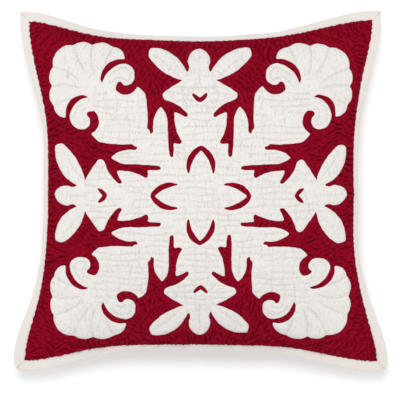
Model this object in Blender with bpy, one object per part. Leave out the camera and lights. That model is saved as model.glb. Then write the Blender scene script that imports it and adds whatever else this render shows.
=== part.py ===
"""A square quilted cushion with a fold-and-cut applique and a bound edge, lying on its back.

Lengths are in millimetres until a mesh is written, in metres. +X is the cushion's right side, +Y its
top edge and +Z the way its front faces. The origin is on the surface that the cushion rests on, under
its middle. A place on the front is known two ways: x, y as seen from above, and u, v from -1 to 1 on
the flat square of cloth, where the seam is at u or v = 1.
"""

import math
from collections import namedtuple

import bpy
from mathutils import Vector
from mathutils.geometry import delaunay_2d_cdt
from mathutils.kdtree import KDTree

MM = 0.001

# The seam that joins front and back, seen from above.
SEAM_HALF_WIDTH = 209.6  # the middle to a corner, across
SEAM_HALF_HEIGHT = 205.9  # the middle to a corner, up and down
BOTTOM_FLARE = 4.5  # each bottom corner stands out by this much, and each top corner in
RIGHT_FLARE = 0.8  # the right corners are further apart by this much each, and the left ones nearer
EDGE_WAVER = 0.7  # the slight unevenness of the sides
SIDE_STEPS = 32  # points along each side of the seam
CORNER_CROWDING = 0.65  # 0 spaces those points evenly, and 1 crowds them at the corners

# The filling pulls each side in: by drawn at the middle, and late is the power that keeps the pull
# away from the corners. aside is where along the side, from -1 to 1, the pull is strongest, and phase
# shifts its unevenness. tilt is how far, in degrees, the binding lies back there.
Side = namedtuple("Side", "drawn late aside phase tilt")
RIGHT = Side(drawn=27.3, late=3.34, aside=-0.03, phase=2.96, tilt=57.0)
TOP = Side(drawn=24.1, late=3.49, aside=-0.07, phase=1.12, tilt=59.0)
LEFT = Side(drawn=27.4, late=2.95, aside=-0.04, phase=5.40, tilt=59.0)
BOTTOM = Side(drawn=23.7, late=3.24, aside=-0.03, phase=4.83, tilt=33.0)

# The filled form.
SEAM_LIFT = 48.0  # the seam's height over the surface at the middle of a side
CORNER_DROOP = 14.0  # how much lower it is at a corner
FRONT_CROWN = 68.0  # the front's rise over the seam in the middle
BACK_CROWN = 62.0  # the back's fall under it, before the surface flattens it
CROWN_SQUARENESS = 2.2
CROWN_FULLNESS = 0.72
SEAM_THICKNESS = 2.0  # the layers held in the seam

# The binding, a folded band sewn over the raw edge.
BINDING_WIDTH = 11.8
BINDING_THICKNESS = 2.6
BINDING_ROUNDING = 0.8
CORNER_REACH = 1.21  # a corner's reach over the width, where a sharp mitre is 1.41
CORNER_REACH_BY_HEIGHT = -0.15  # more than that at the bottom, and less at the top
WIDER_AT_CORNER = 0.04  # the band is pressed out a little wider there
WIDER_BY_HEIGHT = -0.10  # more than that at the bottom, and less at the top
MITRE_PINCH = 0.72  # the thickness left at a mitre's fold
TILT_AT_CORNER = 5.0  # the band stands out flat at the corners, and lies back along each side
TILT_FROM, TILT_TO = 0.35, 1.12  # where along a half side it turns
TILT_TO_BY_HEIGHT = 0.13  # nearer the corner at the top

# The applique and the quilting.
PATTERN_LIFT = 1.3  # the pattern's middle is this far above the cushion's
CLOTH_THICKNESS = 1.1
GAP = 0.32
SIDE_ARM_SQUEEZE = 0.054  # the arms to the left and right were sewn down this much narrower
CUT_STEP = 6.5  # the longest chord along the applique's edge
LEAST_BOW = 0.65  # a flatter arc is drawn straight
RIB_STEP = 9.0
VALLEY = -0.9  # the quilted surface at a line of stitches
PUFF = 0.6  # and between two lines
ECHO_SPACING = 10.0  # the red ground's quilted lines repeat the applique's edge
ECHO_LINES = 6
FILLER_STEP = 17.0
BACK_STEP = 26.0
LEAST_SPACING = 4.2

RED_COTTON = (0.265, 0.006, 0.018, 1.0)
WHITE_COTTON = (0.83, 0.80, 0.765, 1.0)

# One eighth of the folded pattern, from the tip of an arm round to the corner between two arms.
# along is measured from the middle down the arm, off sideways from it. bow is how far the cut bulges
# out of the cloth on its way to the next point: a circular arc, straight at 0 and hollow below it.
Cut = namedtuple("Cut", "point along off bow")
EIGHTH = [
    Cut("petal tip", 174.0, 0.0, 4.5),
    Cut("petal cheek", 156.5, 13.0, -2.5),
    Cut("petal notch", 146.0, 14.5, 8.3),
    Cut("side petal tip", 173.4, 59.0, 0.9),
    Cut("side petal chin", 164.0, 61.0, 5.2),
    Cut("side petal notch", 137.0, 19.0, 0.4),
    Cut("shoulder tip", 120.5, 44.0, 1.7),
    Cut("shoulder under", 113.0, 40.5, -1.9),
    Cut("slit upper lip", 99.0, 17.0, -1.5),
    Cut("slit end", 92.5, 15.5, -0.3),
    Cut("slit lower lip", 92.5, 18.5, 0.6),
    Cut("stem head", 98.0, 30.5, 2.9),
    Cut("barb tip", 63.5, 21.5, -1.3),
    Cut("barb heel", 61.5, 28.5, 0.2),
    Cut("barb root", 62.0, 31.5, -0.3),
    Cut("stem foot left", 46.5, 32.0, -1.6),
    Cut("stem foot right", 49.5, 37.0, -0.5),
    Cut("leaf root", 86.5, 39.0, 1.6),
    Cut("leaf tip", 105.0, 46.5, 3.7),
    Cut("finger left", 77.0, 55.0, -1.3),
    Cut("finger end", 74.0, 60.0, 1.5),
    Cut("finger right", 80.0, 63.0, 1.5),
    Cut("body neck", 120.5, 65.5, 0.3),
    Cut("prong tip", 129.0, 74.0, -7.6),
    Cut("curl mouth", 125.5, 100.5, -0.6),
    Cut("curl corner", 134.5, 98.0, -2.0),
    Cut("curl chin", 132.5, 92.0, 5.4),
    Cut("curl cheek", 141.5, 78.5, 4.7),
    Cut("curl crown", 155.5, 92.0, 5.3),
    Cut("gill end", 132.8, 115.9, -0.2),
    Cut("gill back", 138.0, 118.9, -8.8),
    Cut("shell lip", 161.0, 90.0, 4.1),
    Cut("first scallop", 175.0, 104.5, 4.3),
    Cut("second scallop", 177.0, 129.5, 3.9),
    Cut("corner scallop", 176.0, 152.0, 9.0),
]

# Two openings on each arm, for one half of each. A row's bow is that of the arc to the next row.
CRESCENT = [
    Cut("crown outside", 59.5, 0.0, 8.1),
    Cut("end outside", 26.4, 15.2, 0.5),
    Cut("end inside", 27.6, 13.2, -2.4),
    Cut("crown inside", 53.5, 0.0, 0.0),
]
CHEVRON = [
    Cut("point outside", 109.5, 0.0, -1.5),
    Cut("end outside", 118.5, 9.5, -0.6),
    Cut("end inside", 122.0, 8.5, -0.5),
    Cut("point inside", 115.5, 0.0, 0.0),
]

# Places where the applique was eased across or up while it was sewn down.
Ease = namedtuple("Ease", "x y across up reach")
EASED = [
    Ease(-160.0, 92.0, 1.0, 3.8, 34.0),
    Ease(160.0, 92.0, -1.7, 5.7, 34.0),
    Ease(105.0, -112.0, -4.3, 0.9, 44.0),
    Ease(0.0, -148.0, -1.1, 5.9, 32.0),
    Ease(0.0, 160.0, -2.1, -3.3, 46.0),
    Ease(-80.0, -140.0, 0.4, 4.8, 46.0),
    Ease(20.0, -80.0, -3.3, 2.6, 34.0),
    Ease(140.0, -60.0, -2.1, -1.5, 46.0),
    Ease(-160.0, 20.0, 0.2, -3.2, 34.0),
    Ease(60.0, 140.0, -1.8, 0.7, 46.0),
    Ease(-160.0, 160.0, 0.9, 3.5, 34.0),
    Ease(-20.0, -100.0, 1.9, 2.2, 34.0),
    Ease(160.0, 40.0, -0.9, -4.4, 34.0),
    Ease(60.0, -160.0, -4.3, 6.3, 46.0),
    Ease(140.0, -140.0, -3.3, 2.5, 34.0),
]

# The sewn ribs of each shell run from a notch in its rim towards one hub.
Rib = namedtuple("Rib", "notch reach bend")
SHELL_HUB = (126.0, 126.0)
RIB_START = 0.08
RIBS = [
    Rib("first scallop", 0.40, 1.0),
    Rib("second scallop", 0.62, 2.0),
    Rib("corner scallop", 0.62, 2.0),
]


# ---- the filled form ---------------------------------------------------------------------------


def smooth_step(low, high, value):
    t = min(1.0, max(0.0, (value - low) / (high - low)))
    return t * t * (3.0 - 2.0 * t)


def drawn_in(t, side):
    """How far a side is pulled in at t, from -1 to 1 along it: nothing at its corners."""
    shifted = (t - side.aside) / (1.0 - side.aside * t)
    share = (1.0 - min(1.0, abs(shifted)) ** side.late) ** 2
    waver = math.sin(5.1 * t + side.phase) + 0.6 * math.sin(11.0 * t + 1.7 * side.phase)
    return share * (side.drawn + EDGE_WAVER * waver)


def half_width(v, side):
    return SEAM_HALF_WIDTH - BOTTOM_FLARE * v - drawn_in(v, side)


def half_height(u, side):
    return SEAM_HALF_HEIGHT + RIGHT_FLARE * u - drawn_in(u, side)


def across_side(u):
    return RIGHT if u > 0.0 else LEFT


def upright_side(v):
    return TOP if v > 0.0 else BOTTOM


def seen_from_above(u, v):
    return u * half_width(v, across_side(u)), v * half_height(u, upright_side(v))


def on_the_cloth(x, y):
    """u, v of a place seen from above: the inverse of seen_from_above, closed in on step by step."""
    across, upright = across_side(x), upright_side(y)
    u, v = x / SEAM_HALF_WIDTH, y / SEAM_HALF_HEIGHT
    for _ in range(40):
        u, v = x / half_width(v, across), y / half_height(u, upright)
    return min(1.0, max(-1.0, u)), min(1.0, max(-1.0, v))


def seam_level(u, v):
    """The height of the surface midway between front and back."""
    corner_share = (u * v) ** 2
    uneven = 1.0 + 0.15 * u - 0.2 * v
    return SEAM_LIFT - CORNER_DROOP * uneven * corner_share


def fullness(u, v):
    across = 1.0 - abs(u) ** CROWN_SQUARENESS
    up = 1.0 - abs(v) ** CROWN_SQUARENESS
    return max(0.0, across * up) ** CROWN_FULLNESS


def front_height(x, y):
    u, v = on_the_cloth(x, y)
    return seam_level(u, v) + FRONT_CROWN * fullness(u, v)


def back_height(x, y):
    u, v = on_the_cloth(x, y)
    return max(0.0, seam_level(u, v) - BACK_CROWN * fullness(u, v))


def steepness(x, y, step=0.5):
    """How much longer a vertical measure is than the same one square to the front."""
    along_x = (front_height(x + step, y) - front_height(x - step, y)) / (2.0 * step)
    along_y = (front_height(x, y + step) - front_height(x, y - step)) / (2.0 * step)
    return math.sqrt(1.0 + along_x**2 + along_y**2)


# ---- the cut lines -----------------------------------------------------------------------------


def arc(start, end, bow, step):
    """Points from start up to but not including end, on an arc that bulges left by bow."""
    chord = end - start
    length = chord.length
    pieces = max(1, math.ceil(length / step))
    if abs(bow) < LEAST_BOW:
        return [start + chord * (i / pieces) for i in range(pieces)]
    radius = (length**2 / 4.0 + bow**2) / (2.0 * abs(bow))
    half_angle = math.asin(min(1.0, length / (2.0 * radius)))
    pieces = max(2, math.ceil(2.0 * half_angle * radius / step))
    left = Vector((-chord.y, chord.x)) / length * math.copysign(1.0, bow)
    centre = (start + end) / 2.0 - left * (radius - abs(bow))
    along = chord / length
    points = []
    for i in range(pieces):
        angle = half_angle * (2.0 * i / pieces - 1.0)
        points.append(centre + (along * math.sin(angle) + left * math.cos(angle)) * radius)
    return points


def quarter_turns(point, turns):
    x, y = point
    for _ in range(turns):
        x, y = y, -x
    return Vector((x, y))


def hand_cut(point):
    """Moves a place on the folded pattern by the small errors of cutting and sewing by hand."""
    x, y = point
    y *= 1.0 - SIDE_ARM_SQUEEZE * x**2 / max(1.0, x**2 + y**2)
    moved = Vector((x, y + PATTERN_LIFT))
    for place in EASED:
        distance = math.hypot(x - place.x, y - place.y)
        share = math.exp(-((distance / place.reach) ** 2))
        moved += Vector((place.across, place.up)) * share
    return moved


def rounded_loop(corners, bows):
    loop = []
    for i, corner in enumerate(corners):
        loop += arc(corner, corners[(i + 1) % len(corners)], bows[i], CUT_STEP)
    return [hand_cut(point) for point in loop]


def outer_cut():
    """The edge of the whole unfolded pattern, clockwise from the tip of the top arm."""
    corners, bows = [], []
    for turn in range(4):
        first_half = [quarter_turns((row.off, row.along), turn) for row in EIGHTH]
        second_half = [quarter_turns((row.along, row.off), turn) for row in EIGHTH[:0:-1]]
        corners += first_half + second_half
        bows += [row.bow for row in EIGHTH] + [row.bow for row in EIGHTH[-2::-1]]
    return rounded_loop(corners, bows)


def opening_cut(rows, turn):
    """An opening in one arm: rows give its right half from the outside round to the inside."""
    right = [quarter_turns((row.off, row.along), turn) for row in rows]
    left = [quarter_turns((-row.off, row.along), turn) for row in rows[::-1]]
    bows = [row.bow for row in rows[:-1]] + [0.0] + [row.bow for row in rows[-2::-1]] + [0.0]
    corners = right + left
    middle = len(rows)
    del corners[middle], bows[middle - 1]  # both halves hold the inside point
    del corners[-1], bows[-1]  # and the outside point
    return rounded_loop(corners, bows)


def shell_ribs():
    """The sewn ribs of the four shells, each a list of points from the rim inwards."""
    hub = Vector(SHELL_HUB)
    notches = {row.point: Vector((row.off, row.along)) for row in EIGHTH}
    ribs = []
    for rib in RIBS:
        notch = notches[rib.notch]
        inner = notch.lerp(hub, rib.reach)
        line = arc(notch.lerp(hub, RIB_START), inner, rib.bend, RIB_STEP) + [inner]
        mirrored = [Vector((point.y, point.x)) for point in line]
        for turn in range(4):
            for half in (line, mirrored):
                ribs.append([hand_cut(quarter_turns(point, turn)) for point in half])
    return ribs


def inside(point, loop):
    """Whether a point is within a closed loop, by counting the edges to its right."""
    x, y = point
    crossings = 0
    for a, b in zip(loop, loop[1:] + loop[:1]):
        if (a.y > y) != (b.y > y) and x < a.x + (b.x - a.x) * (y - a.y) / (b.y - a.y):
            crossings += 1
    return crossings % 2 == 1


# ---- the seam and its binding ------------------------------------------------------------------


def side_share(step):
    """Where the step-th point of a side lies, from -1 to 1."""
    even = 2.0 * step / SIDE_STEPS - 1.0
    return (1.0 - CORNER_CROWDING) * even + CORNER_CROWDING * math.sin(math.pi / 2.0 * even)


SeamPoint = namedtuple("SeamPoint", "place outward up reach wider")


def seam_loop():
    """The seam anticlockwise from the lower right corner, with the binding's directions."""
    cloth = []
    for turn in range(4):
        for step in range(SIDE_STEPS):
            share = side_share(step)
            cloth.append([(1.0, share), (-share, 1.0), (-1.0, -share), (share, -1.0)][turn])
    plan = [Vector(seen_from_above(u, v)) for u, v in cloth]
    loop = []
    for i, (u, v) in enumerate(cloth):
        before, here, after = plan[i - 1], plan[i], plan[(i + 1) % len(plan)]
        coming, going = (here - before).normalized(), (after - here).normalized()
        tangent = (coming + going).normalized()
        turned = math.sqrt(max(0.0, (1.0 + coming.dot(going)) / 2.0))
        lies_back = across_side(u).tilt if abs(u) > abs(v) else upright_side(v).tilt
        corner_share = smooth_step(TILT_FROM, TILT_TO + TILT_TO_BY_HEIGHT * v, min(abs(u), abs(v)))
        tilt = math.radians(lies_back + (TILT_AT_CORNER - lies_back) * corner_share)
        wider = 1.0 + (WIDER_AT_CORNER + WIDER_BY_HEIGHT * v) * corner_share**2
        side = Vector((tangent.y, -tangent.x, 0.0))
        outward = side * math.cos(tilt) - Vector((0.0, 0.0, math.sin(tilt)))
        up = side * math.sin(tilt) + Vector((0.0, 0.0, math.cos(tilt)))
        place = Vector((here.x, here.y, seam_level(u, v)))
        loop.append(SeamPoint(place, outward, up, 1.0 / turned, wider))
    return loop


def binding_section():
    """The band's section, as pairs of distance out from the seam and height over its middle."""
    inner, half = SEAM_THICKNESS / 2.0, BINDING_THICKNESS / 2.0
    upper = [
        (GAP, inner),
        (GAP + 2.0, half),
        (BINDING_WIDTH - BINDING_ROUNDING, half - 0.1),
        (BINDING_WIDTH, half - BINDING_ROUNDING),
    ]
    return upper + [(out, -height) for out, height in upper[::-1]]


# ---- meshes ------------------------------------------------------------------------------------


def cotton(name, colour):
    material = bpy.data.materials.new(name)
    material.use_nodes = True
    shader = material.node_tree.nodes["Principled BSDF"]
    shader.inputs["Base Color"].default_value = colour
    shader.inputs["Roughness"].default_value = 0.85
    shader.inputs["Metallic"].default_value = 0.0
    shader.inputs["Sheen Weight"].default_value = 0.2
    return material


def add_object(name, points, faces, material):
    mesh = bpy.data.meshes.new(name)
    mesh.from_pydata([Vector(point) * MM for point in points], [], faces)
    mesh.materials.append(material)
    mesh.shade_smooth()
    mesh.set_sharp_from_angle(angle=math.radians(50.0))
    mesh.validate()
    made = bpy.data.objects.new(name, mesh)
    bpy.context.scene.collection.objects.link(made)
    return made


class QuiltPlan:
    """Places that a mesh goes through, seen from above, and the quilting's relief at each."""

    def __init__(self):
        self.places = []
        self.reliefs = []
        self.edges = []
        self.taken = {}

    def cell(self, place):
        return int(place.x // LEAST_SPACING), int(place.y // LEAST_SPACING)

    def is_free(self, place, spacing):
        reach = math.ceil(spacing / LEAST_SPACING)
        column, row = self.cell(place)
        for i in range(column - reach, column + reach + 1):
            for j in range(row - reach, row + reach + 1):
                for other in self.taken.get((i, j), ()):
                    if (self.places[other] - place).length < spacing:
                        return False
        return True

    def add(self, place, relief):
        self.places.append(place)
        self.reliefs.append(relief)
        self.taken.setdefault(self.cell(place), []).append(len(self.places) - 1)

    def add_free(self, places, relief, spacing=LEAST_SPACING):
        for place in places:
            if self.is_free(place, spacing):
                self.add(place, relief)

    def add_line(self, places, relief, closed):
        first = len(self.places)
        for place in places:
            self.add(place, relief)
        last = len(self.places) - 1
        self.edges += [(i, i + 1) for i in range(first, last)]
        if closed:
            self.edges.append((last, first))

    def triangles(self):
        """(places, reliefs, faces) of the plan, with its lines kept as edges."""
        out = delaunay_2d_cdt(self.places, self.edges, [], 0, 1e-6)
        reliefs = [self.reliefs[sources[0]] for sources in out[3]]
        return out[0], reliefs, [tuple(face) for face in out[2]]


def hex_grid(step):
    """Places about step apart all over the cushion."""
    rows = math.ceil(SEAM_HALF_HEIGHT / (step * 0.866))
    columns = math.ceil(SEAM_HALF_WIDTH / step)
    for row in range(-rows, rows + 1):
        for column in range(-columns, columns + 1):
            yield Vector(((column + 0.5 * (row % 2)) * step, row * step * 0.866))


def echo_line(cut, tree, distance, seam):
    """Places at one distance outside the applique's edge, evenly along it, within the seam."""
    for before, here, after in zip(cut[-1:] + cut[:-1], cut, cut[1:] + cut[:1]):
        along = (after - before).normalized()
        place = here + Vector((-along.y, along.x)) * distance
        nearest = tree.find((place.x, place.y, 0.0))[2]
        u, v = on_the_cloth(place.x, place.y)
        clear_of_seam = max(abs(u), abs(v)) < 1.0 - LEAST_SPACING / SEAM_HALF_WIDTH
        if nearest > 0.93 * distance and clear_of_seam and inside(place, seam):
            yield place


def front_plan(seam, cuts):
    """The front seen from above: seam, cut lines, shell ribs, echo quilting and filling points."""
    plan = QuiltPlan()
    seam_places = [point.place.to_2d() for point in seam]
    plan.add_line(seam_places, 0.0, closed=True)
    for loop in cuts:
        plan.add_line(loop, VALLEY, closed=True)
    for rib in shell_ribs():
        plan.add_line(rib, VALLEY, closed=False)
    samples = [place for loop in cuts for place in loop]
    tree = KDTree(len(samples))
    for i, place in enumerate(samples):
        tree.insert((place.x, place.y, 0.0), i)
    tree.balance()
    for line in range(1, 2 * ECHO_LINES):
        relief = PUFF if line % 2 else VALLEY
        distance = line * ECHO_SPACING / 2.0
        plan.add_free(echo_line(cuts[0], tree, distance, seam_places), relief)
    spacing = FILLER_STEP * 0.55
    filler = [place for place in hex_grid(FILLER_STEP) if inside(place, seam_places)]
    plan.add_free(filler, PUFF, spacing)
    return plan.triangles()


def make_cushion(seam, places, reliefs, faces, material):
    """The filled body: quilted front, plain back flat where it rests, and the narrow edge in the seam."""
    count = len(seam)
    half = SEAM_THICKNESS / 2.0
    seam_places = [point.place.to_2d() for point in seam]
    points = []
    for i, (place, relief) in enumerate(zip(places, reliefs)):
        if i < count:
            points.append(seam[i].place + seam[i].up * half)
        else:
            points.append(Vector((place.x, place.y, front_height(place.x, place.y) + relief)))
    kept = [face for face in faces if inside(middle_of(face, places), seam_places)]

    back = QuiltPlan()
    back.add_line(seam_places, 0.0, closed=True)
    inner = [place for place in hex_grid(BACK_STEP) if inside(place, seam_places)]
    back.add_free(inner, 0.0, BACK_STEP * 0.45)
    back_places, _, back_faces = back.triangles()
    first = len(points)
    for i, place in enumerate(back_places):
        if i < count:
            points.append(seam[i].place - seam[i].up * half)
        else:
            points.append(Vector((place.x, place.y, back_height(place.x, place.y))))
    for face in back_faces:
        if inside(middle_of(face, back_places), seam_places):
            kept.append(tuple(first + i for i in face[::-1]))
    for i in range(count):
        after = (i + 1) % count
        kept.append((after, i, first + i, first + after))
    return add_object("cushion", points, kept, material)


def middle_of(face, places):
    return sum((places[i] for i in face), Vector((0.0, 0.0))) / len(face)


def make_applique(cuts, places, reliefs, faces, material):
    """One piece of cloth, cut through where the openings are, lying on the quilted front."""
    kept = []
    for face in faces:
        middle = middle_of(face, places)
        if inside(middle, cuts[0]) and not any(inside(middle, hole) for hole in cuts[1:]):
            kept.append(face)
    used = sorted({i for face in kept for i in face})
    index = {old: new for new, old in enumerate(used)}
    lower, upper = [], []
    for i in used:
        x, y = places[i]
        stretch = steepness(x, y)
        ground = front_height(x, y) + reliefs[i]
        lower.append(Vector((x, y, ground + GAP * stretch)))
        upper.append(Vector((x, y, ground + (GAP + CLOTH_THICKNESS) * stretch)))
    count = len(used)
    solid = []
    rim = set()
    for face in kept:
        a, b, c = (index[i] for i in face)
        solid.append((count + a, count + b, count + c))
        solid.append((c, b, a))
        rim |= {(a, b), (b, c), (c, a)}
    for start, end in sorted(rim):
        if (end, start) not in rim:
            solid.append((start, end, count + end, count + start))
    return add_object("applique", lower + upper, solid, material)


def make_binding(seam, material):
    """The band all round the seam, folded to a mitre at each corner."""
    section = binding_section()
    points, faces = [], []
    for i, at in enumerate(seam):
        is_corner = i % SIDE_STEPS == 0
        pinch = MITRE_PINCH if is_corner else 1.0
        corner_reach = CORNER_REACH + math.copysign(CORNER_REACH_BY_HEIGHT, at.place.y)
        for out, height in section:
            reach = 1.0 + (at.wider - 1.0) * out / BINDING_WIDTH
            if is_corner:
                reach *= at.reach + (corner_reach - at.reach) * out / BINDING_WIDTH
            points.append(at.place + at.outward * out * reach + at.up * height * pinch)
    around = len(section)
    for i in range(len(seam)):
        here, after = i * around, (i + 1) % len(seam) * around
        for j in range(around):
            k = (j + 1) % around
            faces.append((here + j, here + k, after + k, after + j))
    return add_object("binding", points, faces, material)


def clear_scene():
    for leftover in list(bpy.data.objects):
        bpy.data.objects.remove(leftover, do_unlink=True)


def build():
    clear_scene()
    red = cotton("red_cotton", RED_COTTON)
    white = cotton("white_cotton", WHITE_COTTON)
    bound = cotton("binding_cotton", WHITE_COTTON)
    seam = seam_loop()
    cuts = [outer_cut()]
    for turn in range(4):
        cuts.append(opening_cut(CRESCENT, turn))
        cuts.append(opening_cut(CHEVRON, turn))
    places, reliefs, faces = front_plan(seam, cuts)
    make_cushion(seam, places, reliefs, faces, red)
    make_applique(cuts, places, reliefs, faces, white)
    make_binding(seam, bound)


build()
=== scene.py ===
import math
import time

import bpy
import numpy as np
from mathutils import Matrix, Vector
from mathutils.geometry import delaunay_2d_cdt
from mathutils.kdtree import KDTree


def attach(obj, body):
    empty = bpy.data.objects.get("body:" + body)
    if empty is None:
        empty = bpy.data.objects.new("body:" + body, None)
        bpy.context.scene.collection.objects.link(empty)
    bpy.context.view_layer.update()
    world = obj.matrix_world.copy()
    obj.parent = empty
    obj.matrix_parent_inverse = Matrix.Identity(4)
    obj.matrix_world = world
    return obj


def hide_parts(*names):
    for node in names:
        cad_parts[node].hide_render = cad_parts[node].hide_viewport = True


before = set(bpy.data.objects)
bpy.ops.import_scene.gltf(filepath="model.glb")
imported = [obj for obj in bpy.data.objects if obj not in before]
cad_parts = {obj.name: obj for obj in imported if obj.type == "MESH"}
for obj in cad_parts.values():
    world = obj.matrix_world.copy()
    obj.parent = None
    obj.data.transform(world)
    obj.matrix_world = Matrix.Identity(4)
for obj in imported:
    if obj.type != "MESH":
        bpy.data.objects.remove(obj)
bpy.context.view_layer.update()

metres = 0.001  # lengths below are in millimetres until a mesh is written
startedAt = time.time()


def report(stage):
    print(f"{time.time() - startedAt:6.1f} s  {stage}")


# the cushion's form, the same numbers that its solids have

cushionForm = {
    "halfWidth": 209.6,  # middle to corner, across
    "halfHeight": 205.9,  # middle to corner, up and down
    "bottomFlare": 4.5,
    "rightFlare": 0.8,
    "edgeWaver": 0.7,
    "seamLift": 48.0,
    "cornerDroop": 14.0,
    "droopRight": 0.15,  # more at the right corners
    "droopTop": -0.2,
    "frontCrown": 68.0,
    "backCrown": 62.0,
    "squareness": 2.2,
    "fullness": 0.72,
    "seamThickness": 2.0,
}
sideForms = {  # how far each side is drawn in, how late, and how far its binding lies back
    "right": {"drawn": 27.3, "late": 3.34, "aside": -0.03, "phase": 2.96, "tilt": 57.0},
    "top": {"drawn": 24.1, "late": 3.49, "aside": -0.07, "phase": 1.12, "tilt": 59.0},
    "left": {"drawn": 27.4, "late": 2.95, "aside": -0.04, "phase": 5.40, "tilt": 59.0},
    "bottom": {"drawn": 23.7, "late": 3.24, "aside": -0.03, "phase": 4.83, "tilt": 33.0},
}


def smoothStep(low, high, value):
    t = np.clip((value - low) / (high - low), 0.0, 1.0)
    return t * t * (3.0 - 2.0 * t)


def fade(distance, reach):
    # falls softly from 1, mostly within the reach
    return np.exp(-((distance / reach) ** 2))


def unit(rows):
    return rows / np.linalg.norm(rows, axis=1, keepdims=True)


def drawnIn(t, side):
    shifted = (t - side["aside"]) / (1.0 - side["aside"] * t)
    share = (1.0 - np.minimum(1.0, np.abs(shifted)) ** side["late"]) ** 2
    waver = np.sin(5.1 * t + side["phase"]) + 0.6 * np.sin(11.0 * t + 1.7 * side["phase"])
    return share * (side["drawn"] + cushionForm["edgeWaver"] * waver)


def halfWidth(v, x):
    pulled = np.where(x > 0.0, drawnIn(v, sideForms["right"]), drawnIn(v, sideForms["left"]))
    return cushionForm["halfWidth"] - cushionForm["bottomFlare"] * v - pulled


def halfHeight(u, y):
    pulled = np.where(y > 0.0, drawnIn(u, sideForms["top"]), drawnIn(u, sideForms["bottom"]))
    return cushionForm["halfHeight"] + cushionForm["rightFlare"] * u - pulled


def seenFromAbove(u, v):
    return u * halfWidth(v, u), v * halfHeight(u, v)


def onTheCloth(x, y):
    u, v = x / cushionForm["halfWidth"], y / cushionForm["halfHeight"]
    for _ in range(16):  # closes in on the place in the flat square of cloth
        u, v = x / halfWidth(np.clip(v, -1, 1), x), y / halfHeight(np.clip(u, -1, 1), y)
    return np.clip(u, -1.0, 1.0), np.clip(v, -1.0, 1.0)


def seamLevel(u, v):
    uneven = 1.0 + cushionForm["droopRight"] * u + cushionForm["droopTop"] * v
    return cushionForm["seamLift"] - cushionForm["cornerDroop"] * uneven * (u * v) ** 2


def fullness(u, v):
    across = 1.0 - np.abs(u) ** cushionForm["squareness"]
    up = 1.0 - np.abs(v) ** cushionForm["squareness"]
    return np.maximum(0.0, across * up) ** cushionForm["fullness"]


def frontHeight(x, y):
    u, v = onTheCloth(x, y)
    return seamLevel(u, v) + cushionForm["frontCrown"] * fullness(u, v)


def backHeight(x, y):
    u, v = onTheCloth(x, y)
    return np.maximum(0.0, seamLevel(u, v) - cushionForm["backCrown"] * fullness(u, v))


def frontFrame(plan, step=0.4):
    # points on the smooth front above places in the plan, and the directions square to it
    x, y = plan[:, 0], plan[:, 1]
    slopeX = (frontHeight(x + step, y) - frontHeight(x - step, y)) / (2.0 * step)
    slopeY = (frontHeight(x, y + step) - frontHeight(x, y - step)) / (2.0 * step)
    normals = unit(np.stack([-slopeX, -slopeY, np.ones(len(plan))], axis=1))
    return np.stack([x, y, frontHeight(x, y)], axis=1), normals


# the folded pattern and its hand-cut edge

patternForm = {
    "lift": 1.3,
    "sideArmSqueeze": 0.054,
    "fineStep": 0.5,  # points along the edge while it is drawn
    "edgeStep": 1.25,  # and in the end
    "mapStep": 0.7,  # and where distances are measured
    "cornerRounding": 0.9,  # a turned-under corner's radius, about
    "waver": 0.132,  # unevenness of the turned edge
    "waves": ((7.3, 0.5), (12.1, 0.8), (23.0, 1.0)),  # its lengths and their shares
    "bulge": 0.35,  # the turned edge stands out this far
}
eightFold = [  # along the arm, off sideways, bow of the cut to the next point
    (174.0, 0.0, 4.5),  # petal tip
    (156.5, 13.0, -2.5),
    (146.0, 14.5, 8.3),
    (173.4, 59.0, 0.9),  # side petal
    (164.0, 61.0, 5.2),
    (137.0, 19.0, 0.4),
    (120.5, 44.0, 1.7),  # shoulder
    (113.0, 40.5, -1.9),
    (99.0, 17.0, -1.5),  # slit
    (92.5, 15.5, -0.3),
    (92.5, 18.5, 0.6),
    (98.0, 30.5, 2.9),  # stem head
    (63.5, 21.5, -1.3),  # barb
    (61.5, 28.5, 0.2),
    (62.0, 31.5, -0.3),
    (46.5, 32.0, -1.6),  # stem foot
    (49.5, 37.0, -0.5),
    (86.5, 39.0, 1.6),  # leaf
    (105.0, 46.5, 3.7),
    (77.0, 55.0, -1.3),  # finger
    (74.0, 60.0, 1.5),
    (80.0, 63.0, 1.5),
    (120.5, 65.5, 0.3),  # body neck
    (129.0, 74.0, -7.6),
    (125.5, 100.5, -0.6),  # curl
    (134.5, 98.0, -2.0),
    (132.5, 92.0, 5.4),
    (141.5, 78.5, 4.7),
    (155.5, 92.0, 5.3),
    (132.8, 115.9, -0.2),  # gill
    (138.0, 118.9, -8.8),
    (161.0, 90.0, 4.1),  # shell
    (175.0, 104.5, 4.3),
    (177.0, 129.5, 3.9),
    (176.0, 152.0, 9.0),
]
crescent = [(59.5, 0.0, 8.1), (26.4, 15.2, 0.5), (27.6, 13.2, -2.4), (53.5, 0.0, 0.0)]
chevron = [(109.5, 0.0, -1.5), (118.5, 9.5, -0.6), (122.0, 8.5, -0.5), (115.5, 0.0, 0.0)]
shellNotches = [(175.0, 104.5, 0.40, 1.0), (177.0, 129.5, 0.62, 2.0), (176.0, 152.0, 0.62, 2.0)]
shellHub = (126.0, 126.0)
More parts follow.
